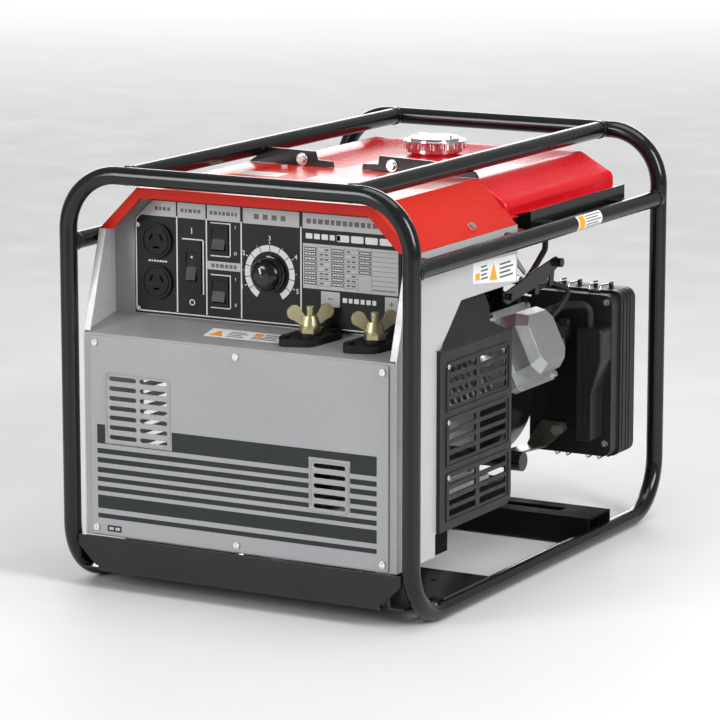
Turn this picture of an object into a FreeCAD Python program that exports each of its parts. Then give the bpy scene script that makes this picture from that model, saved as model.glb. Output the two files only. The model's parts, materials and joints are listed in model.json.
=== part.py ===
# Engine driven welder: tube frame, control bezel, alternator, engine and tank.
# Drawing frame while building: X right, Y back from the front hoop, Z up from
# the ground.  Everything is moved by SHIFT_Y on writing, so that the origin is
# the middle of the footprint at ground level.  Millimetres.
import FreeCAD, Part
import os
import math
from FreeCAD import Vector as V

# ---------------------------------------------------------------- dimensions
SHIFT_Y = -350.0
TUBE_R = 11.1           # frame tube outer radius
TUBE_WALL = 2.0
HOOP_X = 240.0          # upright centre, each side
HOOP_TOP = 522.4        # centre of the top bar
RAIL_Z = 11.1           # centre of the ground rails
MID_Z = 434.7           # centre of the side mid rails
TOP_RAIL_X = 156.0
HOOP_BEND = 71.0
FRAME_LEN = 700.0       # between front and rear hoop centres
SEAM_FRONT = 100.0
SEAM_REAR = 622.0

BODY_X = 220.0          # half width of the body
SHEET = 1.6
BODY_BOTTOM = 68.6
SHELF_Z0 = 324.4        # shelf height at the front wall
SHELF_Z1 = 339.5        # shelf height at the control face
FACE_Y = 72.0           # control face
PLATE_X = 188.0
PLATE_Z0, PLATE_Z1 = 341.0, 485.0
COVER_Y0, COVER_Y1 = 40.0, 315.0
COVER_TOP, COVER_FLAT_X, COVER_SIDE_Z = 503.0, 165.0, 448.6
SCREW_X, SCREW_Z0, SCREW_Z1 = 202.4, 79.1, 312.9

KNOB_X, KNOB_Z = 6.2, 404.8
OUTLET_X, OUTLET_Z = -154.6, (434.0, 382.0)
BREAKER = (-118.7, -90.8, 371.9, 436.8)
SW_A = (-78.8, -52.1, 422.5, 460.8)
SW_B = (-78.8, -52.1, 357.5, 395.8)
TERM_X = (80.0, 168.5)
TERM_Y = 40.0
STUD_R = 5.0

CRANK_Z = 190.0
CYL_Y = 428.0
CYL_TILT = 25.0         # cylinder above horizontal, towards +X
TANK_Y0, TANK_Y1 = 320.0, 642.0
CAP_Y = 513.0
AC = (112.0, 235.0, 577.0, 641.0, 99.0, 322.0)   # air cleaner box

N = {}


def put(name, *shapes):
    N.setdefault(name, []).extend(shapes)


def box(x0, x1, y0, y1, z0, z1):
    return Part.makeBox(x1 - x0, y1 - y0, z1 - z0, V(x0, y0, z0))


AX = {"x": V(1, 0, 0), "y": V(0, 1, 0), "z": V(0, 0, 1)}


def at(axis, t, c1, c2):
    if axis == "x":
        return V(t, c1, c2)
    if axis == "y":
        return V(c1, t, c2)
    return V(c1, c2, t)


def cyl(axis, r, a, b, c1, c2):
    return Part.makeCylinder(r, b - a, at(axis, a, c1, c2), AX[axis])


def cone(axis, r0, r1, a, b, c1, c2):
    return Part.makeCone(r0, r1, b - a, at(axis, a, c1, c2), AX[axis])


def ring(axis, ro, ri, a, b, c1, c2):
    return cyl(axis, ro, a, b, c1, c2).cut(cyl(axis, ri, a - 1, b + 1, c1, c2))


def hexa(axis, flats, a, b, c1, c2, turn=0.0):
    r = flats / math.sqrt(3.0)
    pts = []
    for i in range(6):
        t = math.radians(60 * i + turn)
        pts.append((r * math.cos(t), r * math.sin(t)))
    if axis == "x":
        p = [V(a, c1 + u, c2 + v) for u, v in pts]
    elif axis == "y":
        p = [V(c1 + u, a, c2 + v) for u, v in pts]
    else:
        p = [V(c1 + u, c2 + v, a) for u, v in pts]
    f = Part.Face(Part.makePolygon(p + [p[0]]))
    return f.extrude(AX[axis] * (b - a))


def poly(plane, pts, a, b):
    if plane == "xz":
        p = [V(u, a, v) for u, v in pts]
        d = V(0, b - a, 0)
    elif plane == "yz":
        p = [V(a, u, v) for u, v in pts]
        d = V(b - a, 0, 0)
    else:
        p = [V(u, v, a) for u, v in pts]
        d = V(0, 0, b - a)
    return Part.Face(Part.makePolygon(p + [p[0]])).extrude(d)


def rrect(plane, u0, u1, v0, v1, r, a, b):
    """rounded rectangle in a plane, extruded from a to b"""
    def m(u, v):
        if plane == "xz":
            return V(u, a, v)
        if plane == "yz":
            return V(a, u, v)
        return V(u, v, a)
    k = r * (1 - math.sqrt(0.5))
    e = []
    e.append(Part.makeLine(m(u0 + r, v0), m(u1 - r, v0)))
    e.append(Part.Arc(m(u1 - r, v0), m(u1 - k, v0 + k), m(u1, v0 + r)).toShape())
    e.append(Part.makeLine(m(u1, v0 + r), m(u1, v1 - r)))
    e.append(Part.Arc(m(u1, v1 - r), m(u1 - k, v1 - k), m(u1 - r, v1)).toShape())
    e.append(Part.makeLine(m(u1 - r, v1), m(u0 + r, v1)))
    e.append(Part.Arc(m(u0 + r, v1), m(u0 + k, v1 - k), m(u0, v1 - r)).toShape())
    e.append(Part.makeLine(m(u0, v1 - r), m(u0, v0 + r)))
    e.append(Part.Arc(m(u0, v0 + r), m(u0 + k, v0 + k), m(u0 + r, v0)).toShape())
    d = {"xz": V(0, b - a, 0), "yz": V(b - a, 0, 0), "xy": V(0, 0, b - a)}[plane]
    return Part.Face(Part.Wire(e)).extrude(d)


def fuse(*s):
    r = s[0]
    if len(s) > 1:
        r = r.multiFuse(list(s[1:]))
    return r.removeSplitter()


def cut(a, *b):
    for c in b:
        a = a.cut(c)
    return a


def fil(s, r, pick):
    """fillet the edges that pick() chooses, if they can take it"""
    e = [x for x in s.Edges if pick(x)]
    if not e:
        return s
    try:
        t = s.makeFillet(r, e)
        if t.isValid() and t.Volume > 0:
            return t
    except Exception:
        pass
    return s


def along(axis):
    a = AX[axis]

    def f(e):
        if e.Curve.TypeId != "Part::GeomLine":
            return False
        d = e.Curve.Direction
        return abs(abs(d.dot(a)) - 1) < 1e-6
    return f


def annulus(c, d, ro, ri):
    f = Part.Face(Part.Wire(Part.Circle(c, d, ro).toShape()))
    if ri:
        f = f.cut(Part.Face(Part.Wire(Part.Circle(c, d, ri).toShape()))).Faces[0]
    return f


def pipe(pts, bend, ro, ri=0.0):
    """round bar or tube along points, with rounded corners"""
    pts = [V(*p) for p in pts]
    n = len(pts)
    segs = []
    cur = pts[0]
    for i in range(1, n):
        d0 = (pts[i] - pts[i - 1]).normalize()
        if i < n - 1:
            d1 = (pts[i + 1] - pts[i]).normalize()
            ang = d0.getAngle(d1)
            t = bend * math.tan(ang / 2.0)
            a = pts[i] - d0 * t
        else:
            ang = 0
            a = pts[i]
        L = (a - cur).Length
        if L > 1e-6:
            segs.append(annulus(cur, d0, ro, ri).extrude(d0 * L))
        if i < n - 1:
            nrm = d0.cross(d1).normalize()
            c = a + nrm.cross(d0) * bend
            segs.append(annulus(a, d0, ro, ri).revolve(c, nrm, math.degrees(ang)))
            cur = a + d0 * t + d1 * t
    return fuse(*segs)


def mirx(s):
    return s.mirror(V(0, 0, 0), V(1, 0, 0))


def bolt(axis, sign, r, head, t, c1, c2, under, length, kind="hex"):
    """head sits on `under`, shank runs the other way; sign +1: head towards +axis"""
    lo, hi = (under, under + t) if sign > 0 else (under - t, under)
    h = hexa(axis, head, lo, hi, c1, c2) if kind == "hex" else cyl(axis, head / 2.0, lo, hi, c1, c2)
    if kind == "pan":
        w = head * 0.30
        k0, k1 = (hi - t * 0.45, hi + 1) if sign > 0 else (lo - 1, lo + t * 0.45)
        if axis == "y":
            g = fuse(box(c1 - w, c1 + w, k0, k1, c2 - 0.5, c2 + 0.5), box(c1 - 0.5, c1 + 0.5, k0, k1, c2 - w, c2 + w))
        elif axis == "x":
            g = fuse(box(k0, k1, c1 - w, c1 + w, c2 - 0.5, c2 + 0.5), box(k0, k1, c1 - 0.5, c1 + 0.5, c2 - w, c2 + w))
        else:
            g = fuse(box(c1 - w, c1 + w, c2 - 0.5, c2 + 0.5, k0, k1), box(c1 - 0.5, c1 + 0.5, c2 - w, c2 + w, k0, k1))
        h = h.cut(g)
    a, b = (under - length, under) if sign > 0 else (under, under + length)
    return fuse(h, cyl(axis, r, a, b, c1, c2))


# ------------------------------------------------------------------- frame
def hoop_path(y, ys):
    x, b, t = HOOP_X, RAIL_Z, HOOP_TOP
    return [(x, ys, b), (x, y, b), (x, y, t), (-x, y, t), (-x, y, b), (-x, ys, b)]


front_hoop = pipe(hoop_path(0, SEAM_FRONT), HOOP_BEND, TUBE_R, TUBE_R - TUBE_WALL)
rear_hoop = pipe(hoop_path(FRAME_LEN, SEAM_REAR), HOOP_BEND, TUBE_R, TUBE_R - TUBE_WALL)
front_env = pipe(hoop_path(0, SEAM_FRONT), HOOP_BEND, TUBE_R)
rear_env = pipe(hoop_path(FRAME_LEN, SEAM_REAR), HOOP_BEND, TUBE_R)
put("front_hoop", front_hoop)
put("rear_hoop", rear_hoop)
for nm, s in (("left", -1), ("right", 1)):
    put("bottom_rail_" + nm, ring("y", TUBE_R, TUBE_R - TUBE_WALL, SEAM_FRONT, SEAM_REAR, s * HOOP_X, RAIL_Z))
    r = fuse(cyl("y", TUBE_R, 2, FRAME_LEN - 2, s * TOP_RAIL_X, HOOP_TOP),
             cyl("y", TUBE_R + 1.2, 8.0, 14.5, s * TOP_RAIL_X, HOOP_TOP),
             cyl("y", TUBE_R + 1.2, FRAME_LEN - 14.5, FRAME_LEN - 8.0, s * TOP_RAIL_X, HOOP_TOP))
    r = cut(r, cyl("y", TUBE_R - TUBE_WALL, 0, FRAME_LEN, s * TOP_RAIL_X, HOOP_TOP),
            cyl("x", TUBE_R, -230, 230, 0, HOOP_TOP), cyl("x", TUBE_R, -230, 230, FRAME_LEN, HOOP_TOP))
    put("top_rail_" + nm, r)
    r = fuse(cyl("y", TUBE_R, 2, FRAME_LEN - 2, s * HOOP_X, MID_Z),
             cyl("y", TUBE_R + 1.2, 8.0, 14.5, s * HOOP_X, MID_Z),
             cyl("y", TUBE_R + 1.2, FRAME_LEN - 14.5, FRAME_LEN - 8.0, s * HOOP_X, MID_Z))
    r = cut(r, cyl("y", TUBE_R - TUBE_WALL, 0, FRAME_LEN, s * HOOP_X, MID_Z),
            cyl("z", TUBE_R, 380, 480, s * HOOP_X, 0), cyl("z", TUBE_R, 380, 480, s * HOOP_X, FRAME_LEN))
    put("mid_rail_" + nm, r)

# front crossmember: one bent sheet, upright skirt plus a tray on the rails
TRAY_T = 3.0
TRAY_Z = 22.2
TRAY_Y1 = 200.0
skirt = poly("xz", [(-228.6, 55), (-203, 30.3), (203, 30.3), (228.6, 55), (228.6, 68), (-228.6, 68)], -5, -2)
neck = poly("yz", [(-5, 30.3), (-2, 30.3), (6, 25.2), (6, 22.2), (-1, 22.2), (-5, 27)], -200, 200)
tray = fuse(box(-228, 228, 5, TRAY_Y1, TRAY_Z, TRAY_Z + TRAY_T), box(-243, 243, 78, TRAY_Y1, TRAY_Z, TRAY_Z + TRAY_T))
lip = box(-225, 225, TRAY_Y1 - 3, TRAY_Y1, 12.0, TRAY_Z)
rib1 = box(-206, 206, 60, 63, 12.0, TRAY_Z)
fc = cut(fuse(skirt, neck, tray, lip, rib1), front_env,
         cyl("y", TUBE_R, 99, 210, HOOP_X, RAIL_Z), cyl("y", TUBE_R, 99, 210, -HOOP_X, RAIL_Z))
MOUNT_X = 62.0
for sx in (-1, 1):
    fc = fc.cut(cyl("z", 4.3, 10, 40, sx * MOUNT_X, 150))
    fc = fc.cut(cyl("z", 4.5, 10, 40, sx * 190, 150))
    fc = fc.cut(cyl("z", 4.5, 10, 40, sx * 190, 100))
put("front_crossmember", fc)

# rear crossmember: inverted channel that sits over the rails
RC_Y0, RC_Y1, RC_Z = 487.0, 553.0, 38.0
rc = fuse(box(-243, 243, RC_Y0, RC_Y1, RC_Z - 3, RC_Z), box(-243, 243, RC_Y0, RC_Y0 + 3, 4.5, RC_Z),
          box(-243, 243, RC_Y1 - 3, RC_Y1, 4.5, RC_Z))
rc = cut(rc, cyl("y", TUBE_R, 480, 560, HOOP_X, RAIL_Z), cyl("y", TUBE_R, 480, 560, -HOOP_X, RAIL_Z),
         box(226, 250, 480, 560, 0, 11.1), box(-250, -226, 480, 560, 0, 11.1))
for sx in (-1, 1):
    rc = rc.cut(rrect("xy", min(sx * 103, sx * 190), max(sx * 103, sx * 190), 513, 531, 6, 30, 45))
    rc = rc.cut(cyl("z", 4.3, 30, 45, sx * MOUNT_X, 520))
put("rear_crossmember", rc)

# rubber mounts: two under the alternator, two under the engine
BED_Z = 62.0
for sx in (-1, 1):
    for y, z0 in ((150.0, TRAY_Z + TRAY_T), (520.0, RC_Z)):
        h = BED_Z - z0
        rub = cut(cyl("z", 17, z0 + 2, BED_Z - 2, sx * MOUNT_X, y), cyl("z", 4.2, z0, BED_Z, sx * MOUNT_X, y),
                  ring("z", 19, 14.5, z0 + h / 2 - 2.5, z0 + h / 2 + 2.5, sx * MOUNT_X, y))
        put("rubber_mounts", rub)
        put("mount_plates", ring("z", 19, 4.2, z0, z0 + 2, sx * MOUNT_X, y),
            ring("z", 19, 4.2, BED_Z - 2, BED_Z, sx * MOUNT_X, y))
        # through bolt: head under the sheet, nut above the bed plate
        under = z0 - 3
        put("mount_bolts", fuse(cyl("z", 4.0, under, BED_Z + 14, sx * MOUNT_X, y),
                                hexa("z", 13, under - 5, under, sx * MOUNT_X, y)))
        put("mount_nuts", hexa("z", 13, BED_Z + 4, BED_Z + 11, sx * MOUNT_X, y).cut(
            cyl("z", 4.0, BED_Z, BED_Z + 12, sx * MOUNT_X, y)))

# bed plate that carries alternator and engine on the four mounts
bed = fuse(box(-95, 95, 122, 548, BED_Z, BED_Z + 4), box(-95, -91, 122, 548, BED_Z - 14, BED_Z + 4),
           box(91, 95, 122, 548, BED_Z - 14, BED_Z + 4))
for sx in (-1, 1):
    for y in (150.0, 520.0):
        bed = bed.cut(cyl("z", 4.2, BED_Z - 1, BED_Z + 5, sx * MOUNT_X, y))
bed = bed.cut(rrect("xy", -45, 45, 195, 330, 12, BED_Z - 1, BED_Z + 5))
put("engine_bed", bed)


# -------------------------------------------------------------------- body
def shelf_z(y):
    return SHELF_Z0 + (SHELF_Z1 - SHELF_Z0) * y / FACE_Y


IN_X = BODY_X - SHEET
side = poly("yz", [(0, BODY_BOTTOM), (99, BODY_BOTTOM), (99, 97), (130, 97), (130, 308), (103, 308), (101, 314.4), (165, 375.6), (317, 375.6),
                   (317, 448.4), (39, 448.4), (0, SHELF_Z0)], IN_X, BODY_X)
flange = poly("yz", [(0.6, 326.4), (39.0, 448.4), (40.7, 448.4), (2.3, 326.4)], IN_X - 8, IN_X)
# raised rectangle pressed into the cheek
emboss = cut(poly("yz", [(24, 352), (62, 352), (62, 432), (46, 432)], IN_X - 0.8, IN_X),
             poly("yz", [(27.4, 354.5), (59.5, 354.5), (59.5, 429.5), (47.8, 429.5)], IN_X - 1, IN_X + 1))
bush_seat = [(60.0, 434.7), (285.0, 434.7)]
sp = fuse(side, flange, emboss)
for y, z in [(121, 301), (121, 232), (121, 163.5)]:
    sp = sp.cut(cyl("x", 1.7, IN_X - 2, BODY_X + 2, y, z))
put("side_panel_right", sp)
side_l = poly("yz", [(0, BODY_BOTTOM), (99, BODY_BOTTOM), (99, 97), (317, 97), (317, 448.4), (39, 448.4), (0, SHELF_Z0)],
              IN_X, BODY_X)
side_l = fuse(side_l, flange, emboss)
for i in range(12):
    for u0, u1 in ((134, 212), (222, 300)):
        z = 124.0 + 14.5 * i
        side_l = side_l.cut(rrect("yz", u0, u1, z - 3, z + 3, 2.9, IN_X - 1, BODY_X + 1))
side_l = side_l.cut(cyl("x", 18, IN_X - 1, BODY_X + 1, 262, 350))
put("side_panel_left", mirx(side_l))
# rubber bushes between body and mid rails
for s in (-1, 1):
    for y, z in bush_seat:
        b = cyl("x", 8.0, BODY_X, BODY_X + 14, y, z).cut(cyl("y", TUBE_R, 0, 400, HOOP_X, MID_Z))
        b = [q for q in b.Solids if q.BoundBox.XMin < BODY_X + 1][0]
        put("body_bushes", b if s > 0 else mirx(b))

# front bezel: wall behind the plate, shelf and surround of the control face
wall = box(-IN_X, IN_X, 0, SHEET, BODY_BOTTOM, SHELF_Z0 - 1.7).cut(box(-190, 190, -1, 3, 97, 296))
foot = box(-IN_X, IN_X, 0, 12, BODY_BOTTOM, BODY_BOTTOM + SHEET)
shelf = poly("yz", [(0, SHELF_Z0 - 1.7), (0, SHELF_Z0), (FACE_Y, SHELF_Z1), (FACE_Y, SHELF_Z1 - 1.7)], -IN_X, IN_X)
sur = poly("xz", [(-IN_X, SHELF_Z1 - 1.7), (IN_X, SHELF_Z1 - 1.7), (IN_X, 446.0), (163, 499.5), (-163, 499.5),
                  (-IN_X, 446.0)], FACE_Y, FACE_Y + SHEET)
win = poly("xz", [(-180, 349), (180, 349), (180, 455), (158, 477), (-158, 477), (-180, 455)], FACE_Y - 1, FACE_Y + 3)
bez = fuse(wall, foot, shelf, sur.cut(win))
for x in (-SCREW_X, 0, SCREW_X):
    for z in (SCREW_Z0, SCREW_Z1):
        bez = bez.cut(cyl("y", 2.2, -1, 4, x, z))
for tx in TERM_X:
    bez = bez.cut(cyl("z", 9.0, 315, 350, tx, TERM_Y))
PLATE_SCREWS = [(-182.5, 346.5), (182.5, 346.5), (-182.5, 452.0), (182.5, 452.0)]
for x, z in PLATE_SCREWS:
    bez = bez.cut(cyl("y", 1.7, 70, 75, x, z))
put("front_bezel", bez)

# lower front plate with its two groups of vents
plate = rrect("xz", -210, 210, 70.4, 321.5, 3, -2, 0)


def slot_group(u0, u1, ztop, pitch, n, h):
    s, f = [], []
    for i in range(n):
        z = ztop - pitch * i
        s.append(rrect("xz", u0, u1, z - h, z, h / 2 - 0.01, -4, 1))
    return s


slots = []
for u0, u1 in ((-182.5, -143.0), (-138.0, -98.5)):
    slots += slot_group(u0, u1, 272.0, 12.3, 7, 5.6)
slots += slot_group(107.5, 151.5, 193.5, 12.4, 5, 5.6)
for u0, u1, v0, v1 in ((-187.5, -93.5, 188.5, 277.5), (102.5, 156.5, 134.0, 199.0)):
    fr = rrect("xz", u0, u1, v0, v1, 7, -3.0, -2).cut(rrect("xz", u0 + 1.8, u1 - 1.8, v0 + 1.8, v1 - 1.8, 5.2, -4, -1))
    plate = plate.fuse(fr)
plate = plate.removeSplitter()
for s in slots:
    plate = plate.cut(s)
for x in (-SCREW_X, 0, SCREW_X):
    for z in (SCREW_Z0, SCREW_Z1):
        plate = plate.cut(cyl("y", 2.2, -4, 1, x, z))
        put("panel_screws", bolt("y", -1, 2.0, 8.5, 2.2, x, z, -2, 12, "pan"))
put("lower_front_panel", plate)

# red top cover
cov_o = [(-BODY_X, COVER_SIDE_Z), (-COVER_FLAT_X, COVER_TOP), (COVER_FLAT_X, COVER_TOP), (BODY_X, COVER_SIDE_Z)]
cov_i = [(-217.74, COVER_SIDE_Z), (-164.34, COVER_TOP - SHEET), (164.34, COVER_TOP - SHEET), (217.74, COVER_SIDE_Z)]
lip_i = [(-201.6, COVER_SIDE_Z), (-159.7, 490.0), (159.7, 490.0), (201.6, COVER_SIDE_Z)]
cov = poly("xz", cov_o, COVER_Y0, COVER_Y1).cut(poly("xz", cov_i, COVER_Y0 + SHEET, COVER_Y1 + 1))
cov = cov.cut(poly("xz", lip_i, COVER_Y0 - 1, COVER_Y0 + SHEET + 1))
COVER_BOLT = (210.0, 210.0, 458.505)


def slant_bolt(s):
    b = fuse(hexa("z", 9, 0, 4, 0, 0), cyl("z", 6.0, 0, 1.2, 0, 0), cyl("z", 2.5, -10, 0, 0, 0))
    b.rotate(V(0, 0, 0), V(0, 1, 0), 44.69)
    b.translate(V(*COVER_BOLT))
    return b if s > 0 else mirx(b)


def slant_hole(s):
    b = cyl("z", 2.8, -12, 5, 0, 0)
    b.rotate(V(0, 0, 0), V(0, 1, 0), 44.69)
    b.translate(V(*COVER_BOLT))
    return b if s > 0 else mirx(b)


for s in (-1, 1):
    cov = cov.cut(slant_hole(s))
    put("cover_bolts", slant_bolt(s))
    cov = cov.cut(cyl("z", 2.8, 495, 510, s * 100, 289))
    put("cover_bolts", bolt("z", 1, 2.5, 8, 3.0, s * 100, 289, COVER_TOP, 10))
put("top_cover", cov)

# ---------------------------------------------------------- control devices
cp = poly("xz", [(-PLATE_X, PLATE_Z0), (PLATE_X, PLATE_Z0), (PLATE_X, 458.8), (163, PLATE_Z1), (-163, PLATE_Z1),
                 (-PLATE_X, 458.8)], FACE_Y - 2, FACE_Y)
for z in OUTLET_Z:
    cp = cp.cut(cyl("y", 20.0, 68, 74, OUTLET_X, z))
for x, z in PLATE_SCREWS:
    cp = cp.cut(cyl("y", 1.7, 68, 74, x, z))
    put("plate_screws", bolt("y", -1, 1.5, 6.0, 1.6, x, z, FACE_Y - 2, 8, "pan"))


def outlet(z):
    b = fuse(cyl("y", 21.5, 66.0, 70, OUTLET_X, z), cyl("y", 19.5, 70, 104, OUTLET_X, z))
    b = b.cut(ring("y", 18.6, 17.2, 65, 67.2, OUTLET_X, z))
    for a in (90, 210, 330):
        q = box(-1.2, 1.2, 65, 74, -4.2, 4.2)
        q.translate(V(8.6, 0, 0))
        q.rotate(V(0, 0, 0), V(0, 1, 0), a)
        q.translate(V(OUTLET_X, 0, z))
        b = b.cut(q)
    for dx in (-5, 5):
        b = fuse(b, box(OUTLET_X + dx - 3, OUTLET_X + dx + 3, 104, 112, z - 1, z + 1))
    return b


put("outlet_upper", outlet(OUTLET_Z[0]))
put("outlet_lower", outlet(OUTLET_Z[1]))

PIV_Y = 72.0
ROCK = 8.0


def rocker(cx, cz, hw, hh):
    pts = [(PIV_Y - 5.0, cz + hh), (PIV_Y - 3.4, cz), (PIV_Y - 5.0, cz - hh), (PIV_Y + 1.5, cz - hh + 1.6),
           (PIV_Y + 4.5, cz), (PIV_Y + 1.5, cz + hh - 1.6)]
    s = fuse(poly("yz", pts, cx - hw, cx + hw), cyl("x", 1.5, cx - hw - 2.0, cx + hw + 2.0, PIV_Y, cz))
    s.rotate(V(cx, PIV_Y, cz), V(1, 0, 0), -ROCK)
    return s


def switch_body(r, hw, hh, depth):
    x0, x1, z0, z1 = r
    cx, cz = (x0 + x1) / 2, (z0 + z1) / 2
    b = fuse(rrect("xz", x0, x1, z0, z1, 2, 68, 70), box(x0 + 1.8, x1 - 1.8, 70, depth, z0 + 2, z1 - 2))
    b = b.cut(box(cx - hw - 0.3, cx + hw + 0.3, 66, 78.4, cz - hh - 1.0, cz + hh + 1.0))
    b = b.cut(cyl("x", 1.55, cx - hw - 2.3, cx + hw + 2.3, PIV_Y, cz))
    for dx in (-5, 5):
        b = fuse(b, box(cx + dx - 2.4, cx + dx + 2.4, depth, depth + 7, cz - 0.5, cz + 0.5))
    return b, cx, cz


for nm, r, hw, hh, depth, lev in (("breaker", BREAKER, 7.0, 17.0, 118, True),
                                  ("slowdown_switch", SW_A, 9.3, 13.2, 94, False),
                                  ("frequency_switch", SW_B, 9.3, 13.2, 94, False)):
    b, cx, cz = switch_body(r, hw, hh, depth)
    put(nm + "_body", b)
    put(nm + ("_lever" if lev else "_rocker"), rocker(cx, cz, hw, hh))
    cp = cp.cut(box(r[0] + 1.6, r[1] - 1.6, 68, 74, r[2] + 1.8, r[3] - 1.8))

cp = cp.cut(cyl("y", 4.7, 68, 74, KNOB_X, KNOB_Z))
put("control_plate", cp)
put("dial_regulator", cut(fuse(cyl("y", 4.6, 66.5, 72, KNOB_X, KNOB_Z), cyl("y", 15, 72, 92, KNOB_X, KNOB_Z),
                               box(KNOB_X - 8, KNOB_X + 8, 76, 84, KNOB_Z - 24, KNOB_Z - 12)),
                          cyl("y", 3.05, 60, 93, KNOB_X, KNOB_Z)))
put("dial_shaft", cyl("y", 3.0, 54, 91.5, KNOB_X, KNOB_Z))
kw = Part.makePolygon([V(6.5, 69.4, 0), V(23, 69.4, 0), V(23, 66.4, 0), V(20.5, 65.4, 0)])
karc = Part.Arc(V(20.5, 65.4, 0), V(17.6, 54.6, 0), V(9.5, 49.6, 0)).toShape()
kl = Part.makePolygon([V(9.5, 49.6, 0), V(0, 49.0, 0), V(0, 62, 0), V(6.5, 62, 0), V(6.5, 69.4, 0)])
kf = Part.Face(Part.Wire(kw.Edges + [karc] + kl.Edges))
knob = kf.revolve(V(0, 0, 0), V(0, 1, 0), 360)
knob.translate(V(KNOB_X, 0, KNOB_Z))
knob = cut(knob, cyl("y", 3.0, 54, 70, KNOB_X, KNOB_Z))
for i in range(12):
    q = cyl("y", 2.0, 63.4, 70, 0, 0)
    q.translate(V(24.2, 0, 0))
    q.rotate(V(0, 0, 0), V(0, 1, 0), 30 * i + 15)
    q.translate(V(KNOB_X, 0, KNOB_Z))
    knob = knob.cut(q)
put("current_knob", knob)

# ------------------------------------------------------------ output studs
WING_TURN = 45.0
for nm, tx in (("neg", TERM_X[0]), ("pos", TERM_X[1])):
    c = V(tx, TERM_Y, 315)
    out = fuse(cyl("z", 21, 315, 370, tx, TERM_Y),
               cyl("z", 10, 315, 370, tx - 23.7, TERM_Y - 15.1), cyl("z", 10, 315, 370, tx + 23.7, TERM_Y + 15.1))
    t = math.atan2(15.1, 23.7)
    d = V(math.cos(t), math.sin(t), 0)
    n = V(-math.sin(t), math.cos(t), 0)
    L = math.hypot(23.7, 15.1)
    b = math.acos((21 - 10) / L)
    loz = []
    for sd, sn in ((1, 1), (-1, 1), (-1, -1), (1, -1)):
        u = d * (sd * math.cos(b)) + n * (sn * math.sin(b))
        pc, pe = c + u * 21, c + d * (sd * L) + u * 10
        loz.append((pe, pc) if sd * sn > 0 else (pc, pe))
    pts = [q for pair in loz for q in pair]
    out = fuse(out, Part.Face(Part.makePolygon(pts + [pts[0]])).extrude(V(0, 0, 55)))
    slab = poly("yz", [(0, shelf_z(0)), (FACE_Y, shelf_z(FACE_Y)), (FACE_Y, shelf_z(FACE_Y) + 9), (0, shelf_z(0) + 9)],
                tx - 40, tx + 40)
    base = fuse(out.common(slab), cyl("z", 14, 336.6, 343.5, tx, TERM_Y),
                cyl("z", 8.6, 320, shelf_z(40) + 2, tx, TERM_Y))
    base = cut(base, cyl("z", STUD_R + 0.15, 300, 350, tx, TERM_Y), cyl("z", 14.6, 343.5, 360, tx, TERM_Y))
    put("terminal_base_" + nm, base)
    for sd in (-1, 1):
        x, y = tx + sd * 23.7, TERM_Y + sd * 15.1
        zt = shelf_z(y) + 8.4
        put("terminal_screws", cyl("z", 3.6, zt + 1.6, zt + 3.4, x, y).cut(box(x - 4, x + 4, y - .5, y + .5, zt + 2.6, zt + 4)))
    stud = fuse(cyl("z", STUD_R, 300, 376, tx, TERM_Y), hexa("z", 24, 343.5, 349.5, tx, TERM_Y, 15))
    stud = fil(stud, 1.0, lambda e: e.Curve.TypeId == "Part::GeomCircle" and abs(e.BoundBox.ZMax - 376) < 0.01)
    put("terminal_stud_" + nm, stud)
    put("terminal_nuts", cut(hexa("z", 17, 311, 320, tx, TERM_Y), cyl("z", STUD_R + 0.02, 310, 321, tx, TERM_Y)))
    put("clamp_washer_" + nm, ring("z", 12.5, STUD_R + 0.05, 349.5, 351.2, tx, TERM_Y))
    hub = fuse(cyl("z", 12.0, 351.2, 353.0, tx, TERM_Y), cone("z", 12.0, 8.0, 353.0, 364.5, tx, TERM_Y))
    wing = fuse(cyl("y", 9.0, TERM_Y - 1.8, TERM_Y + 1.8, tx + 20.2, 369.0),
                poly("xz", [(tx + 6, 353.5), (tx + 12, 353.5), (tx + 27.7, 364.0), (tx + 14.0, 375.0), (tx + 6, 362.5)],
                     TERM_Y - 1.8, TERM_Y + 1.8))
    w2 = wing.mirror(V(tx, 0, 0), V(1, 0, 0))
    wn = cut(fuse(hub, wing, w2), cyl("z", STUD_R + 0.05, 350, 390, tx, TERM_Y))
    wn.rotate(V(tx, TERM_Y, 0), V(0, 0, 1), WING_TURN)
    put("wing_nut_" + nm, wn)

# -------------------------------------------------------------- alternator
BT = BED_Z + 4.0        # top of the bed plate
ALT_R = 106.0
hous = ring("y", ALT_R, 99, 130, 330, 0, CRANK_Z)
for i in range(24):
    q = box(-1.5, 1.5, 150, 312, ALT_R - 1, ALT_R + 5)
    q.rotate(V(0, 0, 0), V(0, 1, 0), 15 * i + 7.5)
    q.translate(V(0, 0, CRANK_Z))
    hous = hous.fuse(q)
hous = fuse(hous, box(-44, 44, 135, 175, BT, 100).cut(cyl("y", 100, 100, 340, 0, CRANK_Z)),
            box(-70, 70, 290, 325, BT, 100).cut(cyl("y", 100, 100, 340, 0, CRANK_Z)))
put("alternator_housing", hous)
eb = fuse(cyl("y", ALT_R, 122, 130, 0, CRANK_Z), cyl("y", 34, 108, 122, 0, CRANK_Z))
eb = cut(eb, cyl("y", 26, 112, 140, 0, CRANK_Z), cyl("y", 18.4, 100, 140, 0, CRANK_Z))
for i in range(8):
    q = cyl("y", 13, 100, 140, 70, 0)
    q.rotate(V(0, 0, 0), V(0, 1, 0), 45 * i)
    q.translate(V(0, 0, CRANK_Z))
    eb = eb.cut(q)
put("alternator_end_bracket", eb)
put("alternator_bearing", ring("y", 26, 17.5, 112, 124, 0, CRANK_Z))
core = ring("y", 99, 68, 160, 300, 0, CRANK_Z)
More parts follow.
